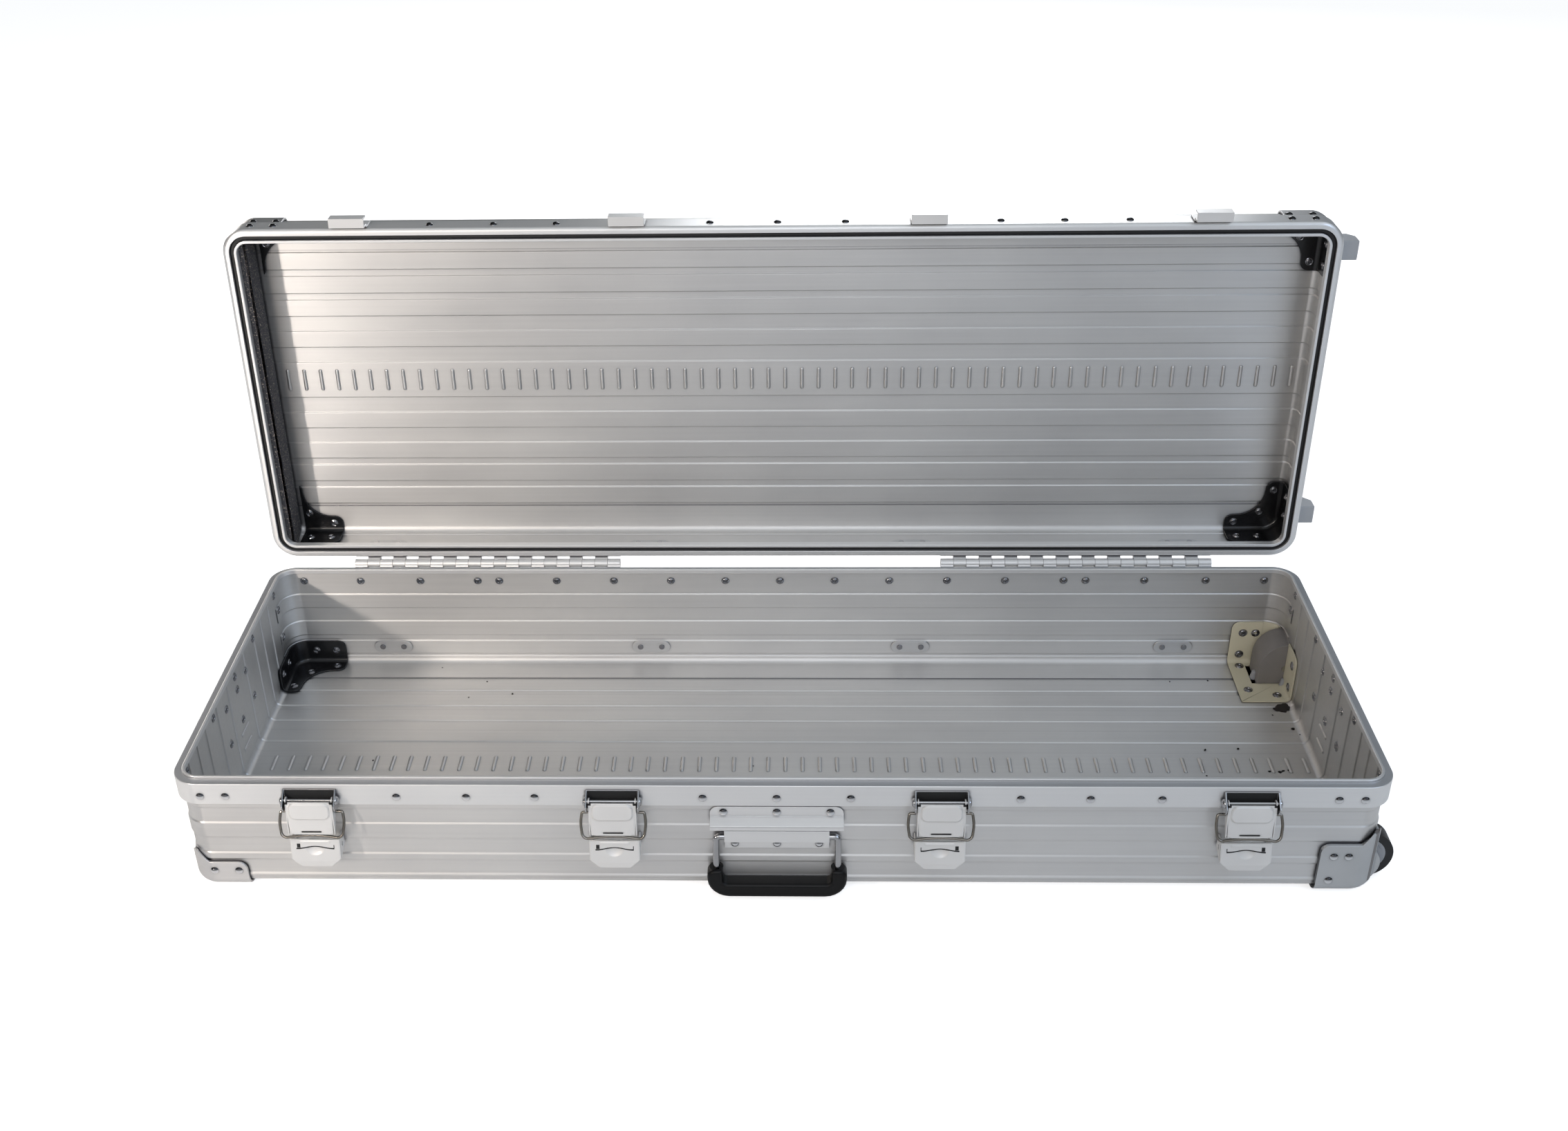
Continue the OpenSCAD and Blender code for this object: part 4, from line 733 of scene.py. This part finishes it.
# The wheel arches inside the case are darker and a little slimmer than their castings outside
ARCH_SLIM, ARCH_LOW = 0.86, 0.93
for node in ("wheel_corner_front", "wheel_corner_rear"):
    mesh = bpy.data.objects[node + "_eased"].data
    mesh.materials.append(ARCH)
    inside = set()
    for face in mesh.polygons:
        x, y, z = (c / MM for c in face.center)
        if x < WALL_X - 1 and abs(y - BASE_Y) < WALL_Y - 1 and z > GUARD_T + inner_face:
            face.material_index = 1
            inside.update(face.vertices)
    for i in inside:
        spot = mesh.vertices[i].co
        if spot.x <= (WALL_X - 2) * MM:
            spot.x = WALL_X * MM + (spot.x - WALL_X * MM) * ARCH_SLIM
            spot.z = WHEEL_Z * MM + (spot.z - WHEEL_Z * MM) * ARCH_LOW

# Painted shade: the latch brackets' inside faces get the black gap finish, which stands for their
# shade and their dark reflection of the ceiling
BRACKET_HALF, BRACKET_TOP = 21.6, 128.5
mesh = bpy.data.objects["latch_brackets_eased"].data
mesh.materials.append(GAP)
for face in mesh.polygons:
    x, y, z = (c / MM for c in face.center)
    between = min(abs(x - latch) for latch in LATCH_X) < BRACKET_HALF
    if between and face.normal.y < -0.3 and z < BRACKET_TOP:
        face.material_index = 1

# Latches: two ends of the lever's face as depth and height, and its half widths there
LEVER_TOP, LEVER_LOW, LEVER_HALVES = (14.6, 121.0), (19.5, 85.0), (23.5, 21.3)
LEVER_LEN = math.dist(LEVER_TOP, LEVER_LOW)
LEVER_LEAN = math.atan2(LEVER_LOW[0] - LEVER_TOP[0], LEVER_TOP[1] - LEVER_LOW[1])
FACE_T, FACE_CELLS_ACROSS, LEVER_CELLS, CATCH_CELLS = 0.5, 60, 48, 52
SHOULDER_R, SHOULDER_IN, SHOULDER_OUT, FOOT_R = 6.0, 14.2, 3.3, 3.0
SHOULDER_FROM, SHOULDER_STEP = 2.5, 2.0
# Pressed fields: place down the face, height, then half sizes, corner radius and slope
TAB_AT, TAB_UP, TAB = 9.8, 1.3, (20.2, 9.2, 7, 0.8)
FOOT_SLOT_AT, FOOT_SLOT_DEEP, FOOT_SLOT = 33.3, 0.5, (11.5, 1.3, 1.3, 0.6)
HOOK_AT, HOOK_UP, HOOK = 71.8, 0.5, (15, 1.6, 0.6, 0.7)
# Height of each face over the model's plate, and how its sides turn back
LEVER_UP, LEVER_TURN, LEVER_TURN_W = 0.25, 0.9, 1.1
CATCH_UP, CATCH_TURN, CATCH_TURN_W = 0.3, 0.7, 0.9


def field(x, y, half_x, half_y, r, slope):
    """Share from 0 outside to 1 inside a pressed field with round corners."""
    dx, dy = abs(x) - half_x + r, abs(y) - half_y + r
    inside = r - math.hypot(max(dx, 0), max(dy, 0)) - min(max(dx, dy), 0)
    return smooth(inside / slope)


def lever_front(u, v):
    """Lever face: round top corners, a raised tab and a slot at the foot."""
    down = v * LEVER_LEN
    half = LEVER_HALVES[0] + (LEVER_HALVES[1] - LEVER_HALVES[0]) * v
    if down < SHOULDER_R:
        round_off = math.sqrt(SHOULDER_R ** 2 - (SHOULDER_R - down) ** 2)
        wider = SHOULDER_OUT * smooth((down - SHOULDER_FROM) / SHOULDER_STEP)
        half = min(half, SHOULDER_IN + round_off + wider)
    if down > LEVER_LEN - FOOT_R:
        half -= FOOT_R - math.sqrt(max(FOOT_R ** 2 - (down - LEVER_LEN + FOOT_R) ** 2, 0))
    x = (2 * u - 1) * half
    lift = LEVER_UP + TAB_UP * field(x, down - TAB_AT, *TAB)
    lift -= FOOT_SLOT_DEEP * field(x, down - FOOT_SLOT_AT, *FOOT_SLOT)
    lift -= LEVER_TURN * smooth(1 - (half - abs(x)) / LEVER_TURN_W)
    return (x, LEVER_TOP[0] + down * math.sin(LEVER_LEAN) + lift * math.cos(LEVER_LEAN),
            LEVER_TOP[1] - down * math.cos(LEVER_LEAN) + lift * math.sin(LEVER_LEAN))


CATCH_TOP, CATCH_BEND, CATCH_END = (14.7, 74.5), (20.6, 51.5), 45.0
CATCH_HALF, CATCH_CUT, CATCH_R = 24.95, 9.0, 2.0
DIMPLE_R, DIMPLE_DEEP, DIMPLE_SIDES, DIMPLE_DEPTHS = 9.8, 2.3, 24, (9.0, 26.0)
SLOT_LOW, SLOT_RISE, SLOT_SPAN, SLOT_HALF, SLOT_STEPS = 65.0, 2.4, 36, 19, 32
SLOT_THIN, SLOT_WIDENS = 0.45, 0.25
WINDOW_X, WINDOW_Z = (-18.2, -14.9), (66.0, 70.2)
NOTCH_X, NOTCH_Z = (18.4, 19.1), (65.4, 68.8)
DARK_FROM, DARK_TO = 0.1, 0.42  # Painted shade of the slot: the dark line stands between these heights over the plate


def catch_depth(z):
    share = min((CATCH_TOP[1] - z) / (CATCH_TOP[1] - CATCH_BEND[1]), 1)
    return CATCH_TOP[0] + (CATCH_BEND[0] - CATCH_TOP[0]) * share


def slot_line(x):
    """Height of the curved slot in the catch plate."""
    return SLOT_LOW + SLOT_RISE * math.cos(math.pi * min(abs(x) / SLOT_SPAN, 0.5)) ** 2


def catch_front(u, v):
    """Catch face: half-moon dimple under the curved slot, raised hook above it."""
    z = CATCH_TOP[1] + (CATCH_END - CATCH_TOP[1]) * v
    half = CATCH_HALF + min(0, z - CATCH_END - CATCH_CUT)
    if z > CATCH_TOP[1] - CATCH_R:
        half -= CATCH_R - math.sqrt(CATCH_R ** 2 - (z - CATCH_TOP[1] + CATCH_R) ** 2)
    x = (2 * u - 1) * half
    lift = CATCH_UP + HOOK_UP * field(x, z - HOOK_AT, *HOOK)
    if z < slot_line(x):
        lift -= DIMPLE_DEEP * max(0, 1 - (math.hypot(x, slot_line(0) - z) / DIMPLE_R) ** 2)
    lift -= CATCH_TURN * smooth(1 - (half - abs(x)) / CATCH_TURN_W)
    return x, catch_depth(z) + lift, z


def catch_slot():
    """Painted shade: a dark line for the slot, with a square window at one end and a notch at the
    other.
    """
    def bar(x, low, high):
        return [(x, catch_depth(z) + lift, z)
                for z, lift in ((high, DARK_FROM), (high, DARK_TO), (low, DARK_TO), (low, DARK_FROM))]

    line = []
    for i in range(SLOT_STEPS + 1):
        x = -SLOT_HALF + 2 * SLOT_HALF * i / SLOT_STEPS
        thin = SLOT_THIN + SLOT_WIDENS * (abs(x) / SLOT_HALF) ** 2
        line.append(bar(x, slot_line(x) - thin, slot_line(x) + thin))
    return [loft(line), loft([bar(x, *WINDOW_Z) for x in WINDOW_X]),
            loft([bar(x, *NOTCH_Z) for x in NOTCH_X])]


# Bail: its feet as depth and height, its half width, and how far it reaches out and down
BAIL_FOOT, BAIL_HALF, BAIL_BEND, BAIL_R = (8.5, 105.5), 31.0, 6.0, 1.45
BAIL_OUT, BAIL_DOWN, FOOT_FROM, FOOT_TO, ELBOW_R = 11.5, 24.0, 24.3, 27.0, 2
ARM_BULGE, BAR_ARCH = 1.0, 2.3
BAIL_DROP, BAIL_LEAN = math.hypot(BAIL_OUT, BAIL_DOWN), math.atan2(BAIL_OUT, BAIL_DOWN)
ARM_SHARES, BAR_SHARES = (0.15, 0.35, 0.5, 0.65, 0.85), (0.85, 0.6, 0.35, 0.1)


def bail_path():
    """Bowed wire loop: feet in the lever, arms bulging outwards, bar arched upwards."""
    reach, corner_x = BAIL_DROP - BAIL_BEND, BAIL_HALF - BAIL_BEND
    right = [(FOOT_FROM, 0.0), (FOOT_TO, 0.0)]
    right += arc(BAIL_HALF - ELBOW_R, ELBOW_R, ELBOW_R, -90, 0, 5)
    right += [(BAIL_HALF + ARM_BULGE * math.sin(math.pi * t), ELBOW_R + (reach - ELBOW_R) * t)
              for t in ARM_SHARES]
    right += arc(corner_x, reach, BAIL_BEND, 0, 90, 7)
    right += [(corner_x * t, BAIL_DROP - BAR_ARCH * (1 - t * t)) for t in BAR_SHARES]
    flat = right + [(-x, y) for x, y in right[::-1]]
    return [(x, BAIL_FOOT[0] + y * math.sin(BAIL_LEAN), BAIL_FOOT[1] - y * math.cos(BAIL_LEAN))
            for x, y in flat]


# The catch plates are opened behind the dimples of their faces
dimples = []
for x in LATCH_X:
    outline = arc(x, slot_line(0), DIMPLE_R - FACE_T, 0, 360 - 360 / DIMPLE_SIDES, DIMPLE_SIDES - 1)
    dimples.append(loft([[(a, -(WALL_Y + d), b) for a, b in outline] for d in DIMPLE_DEPTHS]))
cut(bpy.data.objects["latch_catches_eased"], dimples)

# Painted shade: dark line at the lever's foot: length, width and height, then its depth and its place
SLOT_LINE, SLOT_LINE_D, SLOT_LINE_Z = (20.0, 1.5, 0.15), LEVER_LOW[0] - 0.1, LEVER_LOW[1] + 3.0
# End of the latch's pin, and the painted shade: a black gap beside the lever's round shoulder
PIN_END = [(0.0, 1.7), (1.3, 1.7), (1.5, 2.3), (2.6, 2.7), (3.8, 2.1), (4.5, 1.1), (4.6, 0.0)]
PIN_X, PIN_D, PIN_Z = 26.3, 10.3, 120.4
SHOULDER_GAP = ((14.9, 121.2), (14.9, 115.2), (14.0, 115.2), (14.0, 121.2))
SHOULDER_GAP_X = (20.6, 23.8)
for i, x in enumerate(LATCH_X, 1):
    place, lever = on_front(x), f"lever_{i}"
    flip = -1 if x > 0 else 1
    piece(f"lever_face_{i}", [bent_plate(lever_front, FACE_CELLS_ACROSS, LEVER_CELLS, FACE_T)],
          place, LATCH, lever, angle=60)
    piece(f"lever_slot_{i}", [bead(0, 0, 0, (0, 0, 1), *SLOT_LINE)],
          lambda p: place((p[1], SLOT_LINE_D + p[2], SLOT_LINE_Z + p[0])), GAP, lever)
    piece(f"catch_face_{i}", [bent_plate(catch_front, FACE_CELLS_ACROSS, CATCH_CELLS, FACE_T)],
          place, LATCH, "base", angle=60)
    piece(f"catch_slot_{i}", catch_slot(), lambda p: place((flip * p[0], p[1], p[2])), GAP,
          "base")
    piece(f"bail_wire_{i}", [tube(bail_path(), BAIL_R)], place, WIRE, f"bail_{i}",
          (f"latch_bail_{i}",))
    gaps = [loft([[(side * gap_x, d, z) for d, z in SHOULDER_GAP] for gap_x in SHOULDER_GAP_X])
            for side in SIDES]
    piece(f"lever_notches_{i}", gaps, place, GAP, lever)
    ends = [turned(PIN_END, Vector(place((side * PIN_X, PIN_D, PIN_Z))) * MM, (side, 0, 0))
            for side in SIDES]
    piece(f"pin_ends_{i}", ends, as_drawn, STEEL, "base")

# Folded lip that closes the hood of each handle plate: depth and height
HOOD_HALF, END_UP = 66.0, 3.0
HOOD_LIP = [(9.6, 88.7), (11.15, 88.7), (11.15, 84.8), (10.6, 84.3), (9.6, 84.3)]
lip = loft([[(x, d, z) for d, z in HOOD_LIP] for x in (-HOOD_HALF, HOOD_HALF)])
piece("hood_lip_front", [lip], on_front(0), EXTRUSION, "base")
for name, side in (("hood_lip_left", -1), ("hood_lip_right", 1)):
    piece(name, [lip], lambda p: on_base((side * (WALL_X + p[1]), p[0], p[2] + END_UP)), EXTRUSION,
          "base")

# Lugs that hold the wheel arch, leaning a little to the end wall: radius and height
LUG, LUG_WAY = [(0.0, 12.0), (2.0, 12.0), (3.4, 11.0), (3.9, 4.0), (4.6, 0.0)], (0.15, 0, 1)
for name, x, y in (("arch_lug_left", 560, 163), ("arch_lug_right", 590, 146)):
    spots = [Vector(on_base((x, side * y, GUARD_T + RIB_STEP))) * MM for side in SIDES]
    piece(name, [turned(LUG, spot, LUG_WAY) for spot in spots], as_drawn, HUB, "base",
          angle=40)

# Specks of dirt on the floor of the base, and the dark patches beside the wheel arch: place and
# size
SPECKS = ((506, 157, 1.1), (461, 155, 0.8), (513, 27, 0.9), (476, 25, 0.9), (468, -22, 0.8),
          (538, -14, 1.6), (549, -15, 2.0), (553, -13, 1.6), (560, -12, 1.5), (583, 64, 1.1),
          (566, 89, 0.9), (-351, 153, 1.0), (-317, 129, 0.8), (-456, 1, 0.9), (-29, -7, 0.9),
          (-368, 121, 0.7), (-410, 182, 0.7), (581, 103, 6.5), (575, 101, 4.0),
          (586, 106, 5.0), (589, 140, 5.0), (592, 136, 3.5), (583, 64, 1.4), (588, 52, 1.2))
SPECK_PROFILE, SPECK_SIDES = ((1.0, -1.3), (1.0, 0.1), (0.7, 0.45), (0.3, 0.6)), 9


def speck(x, y, size, chance):
    """Flat uneven crumb lying on the floor sheet."""
    reach = [size * chance.uniform(0.8, 1.5) for _ in range(SPECK_SIDES)]
    loops = []
    for grow, lift in SPECK_PROFILE:
        loops.append([(x + r * grow * math.cos(2 * math.pi * k / SPECK_SIDES),
                       y + r * grow * math.sin(2 * math.pi * k / SPECK_SIDES),
                       GUARD_T + inner_face + lift) for k, r in enumerate(reach)])
    return loft(loops)


chance = random.Random(4)
piece("specks_of_dirt", [speck(x, y, size, chance) for x, y, size in SPECKS], on_base, DIRT,
      "base")

# Camera, worked out from the photo: its frame, focal length and middle in pixels, its angles in
# degrees and its place in metres, before the shift that stands the case in the frame's middle
PHOTO_W, PHOTO_H, FOCAL_PX, CENTRE_PX = 2268, 1636, 2453.062, (1077.043, 778.496)
TILT, TURN, ROLL, SENSOR_MM = 30.654, -2.075, -1.137, 36
CAMERA_AT = (0.020783, -1.497843 + BASE_Y * MM, 1.183606)
tilt, turn, roll = math.radians(TILT), math.radians(TURN), math.radians(ROLL)
ahead = Vector((math.sin(turn) * math.cos(tilt), math.cos(turn) * math.cos(tilt), -math.sin(tilt)))
right = Vector((math.cos(turn), -math.sin(turn), 0))
up = right.cross(ahead)
across = right * math.cos(roll) + up * math.sin(roll)
upright = -right * math.sin(roll) + up * math.cos(roll)
lens = bpy.data.cameras.new("camera")
lens.sensor_width = SENSOR_MM
lens.lens = SENSOR_MM * FOCAL_PX / PHOTO_W
lens.shift_x = (PHOTO_W / 2 - CENTRE_PX[0]) / PHOTO_W
lens.shift_y = (CENTRE_PX[1] - PHOTO_H / 2) / PHOTO_W
lens.clip_end = 60
camera = bpy.data.objects.new("camera", lens)
turned_to = Matrix((across, upright, -ahead)).transposed().to_4x4()
camera.matrix_world = Matrix.Translation(CAMERA_AT) @ turned_to
bpy.context.scene.collection.objects.link(camera)
bpy.context.scene.camera = camera

# Floor of white paper, which also glows a little for the camera alone, so that it looks white
FLOOR_HALF, PAPER_GLOW = 30, 0.62
floor_mesh = bpy.data.meshes.new("floor")
floor_mesh.from_pydata([(-FLOOR_HALF, -FLOOR_HALF, 0), (FLOOR_HALF, -FLOOR_HALF, 0),
                        (FLOOR_HALF, FLOOR_HALF, 0), (-FLOOR_HALF, FLOOR_HALF, 0)], [],
                       [(0, 1, 2, 3)])
floor = bpy.data.objects.new("floor", floor_mesh)
bpy.context.scene.collection.objects.link(floor)
paper = bpy.data.materials.new("white_paper_floor")
paper.use_nodes = True
tree = paper.node_tree
tree.nodes.clear()
cover = add(tree, "ShaderNodeBsdfDiffuse", {"Color": colour("#f6f5f4")})
seen = add(tree, "ShaderNodeLightPath").outputs["Is Camera Ray"]
strength = add(tree, "ShaderNodeMath", {"operation": "MULTIPLY", 1: PAPER_GLOW}, i0=seen)
glow = add(tree, "ShaderNodeEmission", {"Color": (1, 1, 1, 1)}, Strength=strength.outputs[0])
both = add(tree, "ShaderNodeAddShader", i0=cover.outputs[0], i1=glow.outputs[0])
add(tree, "ShaderNodeOutputMaterial", Surface=both.outputs[0])
floor_mesh.materials.append(paper)

# Studio: dim on the left, bright on the right and overhead in front; the camera sees it white
LEFT_WALL, RIGHT_WALL, OVERHEAD = (0.16, 0.15, 0.14, 1), (1.00, 1.08, 1.15, 1), (0.05, -0.5, 0.86)
LOW_LEVEL, OVERHEAD_LEVEL = 0.12, 0.95
world = bpy.data.worlds.new("studio")
bpy.context.scene.world = world
world.use_nodes = True
tree = world.node_tree
tree.nodes.clear()
way = add(tree, "ShaderNodeTexCoord").outputs["Generated"]
sideways = add(tree, "ShaderNodeVectorMath", {"operation": "DOT_PRODUCT", 1: (1, 0, 0)},
               i0=way).outputs["Value"]
sideways = add(tree, "ShaderNodeMapRange", {"From Min": -0.9, "From Max": 0.9},
               Value=sideways).outputs[0]
walls = add(tree, "ShaderNodeValToRGB", i0=sideways)
walls.color_ramp.elements[0].color = LEFT_WALL
walls.color_ramp.elements[1].color = RIGHT_WALL
overhead = add(tree, "ShaderNodeVectorMath", {"operation": "DOT_PRODUCT", 1: OVERHEAD},
               i0=way).outputs["Value"]
dimmed = add(tree, "ShaderNodeMapRange",
             {"From Min": 0.35, "From Max": 0.8, "To Min": LOW_LEVEL, "To Max": OVERHEAD_LEVEL,
              "interpolation_type": "SMOOTHSTEP"}, Value=overhead).outputs[0]
seen = add(tree, "ShaderNodeLightPath").outputs["Is Camera Ray"]
level = add(tree, "ShaderNodeMix", {"B": 1.0}, Factor=seen, A=dimmed).outputs[0]
tint = add(tree, "ShaderNodeMix", {"data_type": "RGBA", 7: (1, 1, 1, 1)}, i0=seen,
           i6=walls.outputs[0])
sky = add(tree, "ShaderNodeBackground", Color=tint.outputs[2], Strength=level)
add(tree, "ShaderNodeOutputWorld", Surface=sky.outputs[0])

# Lamps: place, aim, size, spread, watts and tint; warm from the left, cool from the right, and
# two behind the case for its outside
LAMPS = (
    ("window", (-1.35, -1.30, 0.72), (-0.45, 0.2, 0.28), 0.10, 60, 2.1, (1.0, 0.90, 0.82)),
    ("front_left", (-0.9, -2.2, 1.2), (-0.2, 0.0, 0.2), 0.4, 180, 6.2, (1.0, 0.88, 0.77)),
    ("front", (0.0, -2.6, 1.6), (0.0, 0.0, 0.2), 1.2, 180, 10.0, (0.91, 0.93, 1.0)),
    ("right", (1.9, -1.6, 1.8), (0.0, 0.0, 0.2), 1.2, 180, 9.0, (0.50, 0.68, 1.0)),
    ("back", (0.4, 2.8, 1.6), (0.0, 0.2, 0.3), 1.5, 180, 34.0, (0.95, 0.97, 1.0)),
    ("back_left", (-2.2, 1.9, 1.0), (-0.4, 0.2, 0.2), 0.9, 180, 16.0, (1.0, 0.96, 0.92)),
)
for name, place, aim, size, spread, watts, tone in LAMPS:
    lamp = bpy.data.lights.new(name, "AREA")
    lamp.shape, lamp.size, lamp.spread = "DISK", size, math.radians(spread)
    lamp.energy, lamp.color = watts, tone
    lamp_object = bpy.data.objects.new(name, lamp)
    lamp_object.location = place
    lamp_object.rotation_euler = (Vector(aim) - Vector(place)).to_track_quat("-Z", "Y").to_euler()
    bpy.context.scene.collection.objects.link(lamp_object)

bpy.context.scene.view_settings.view_transform = "Standard"
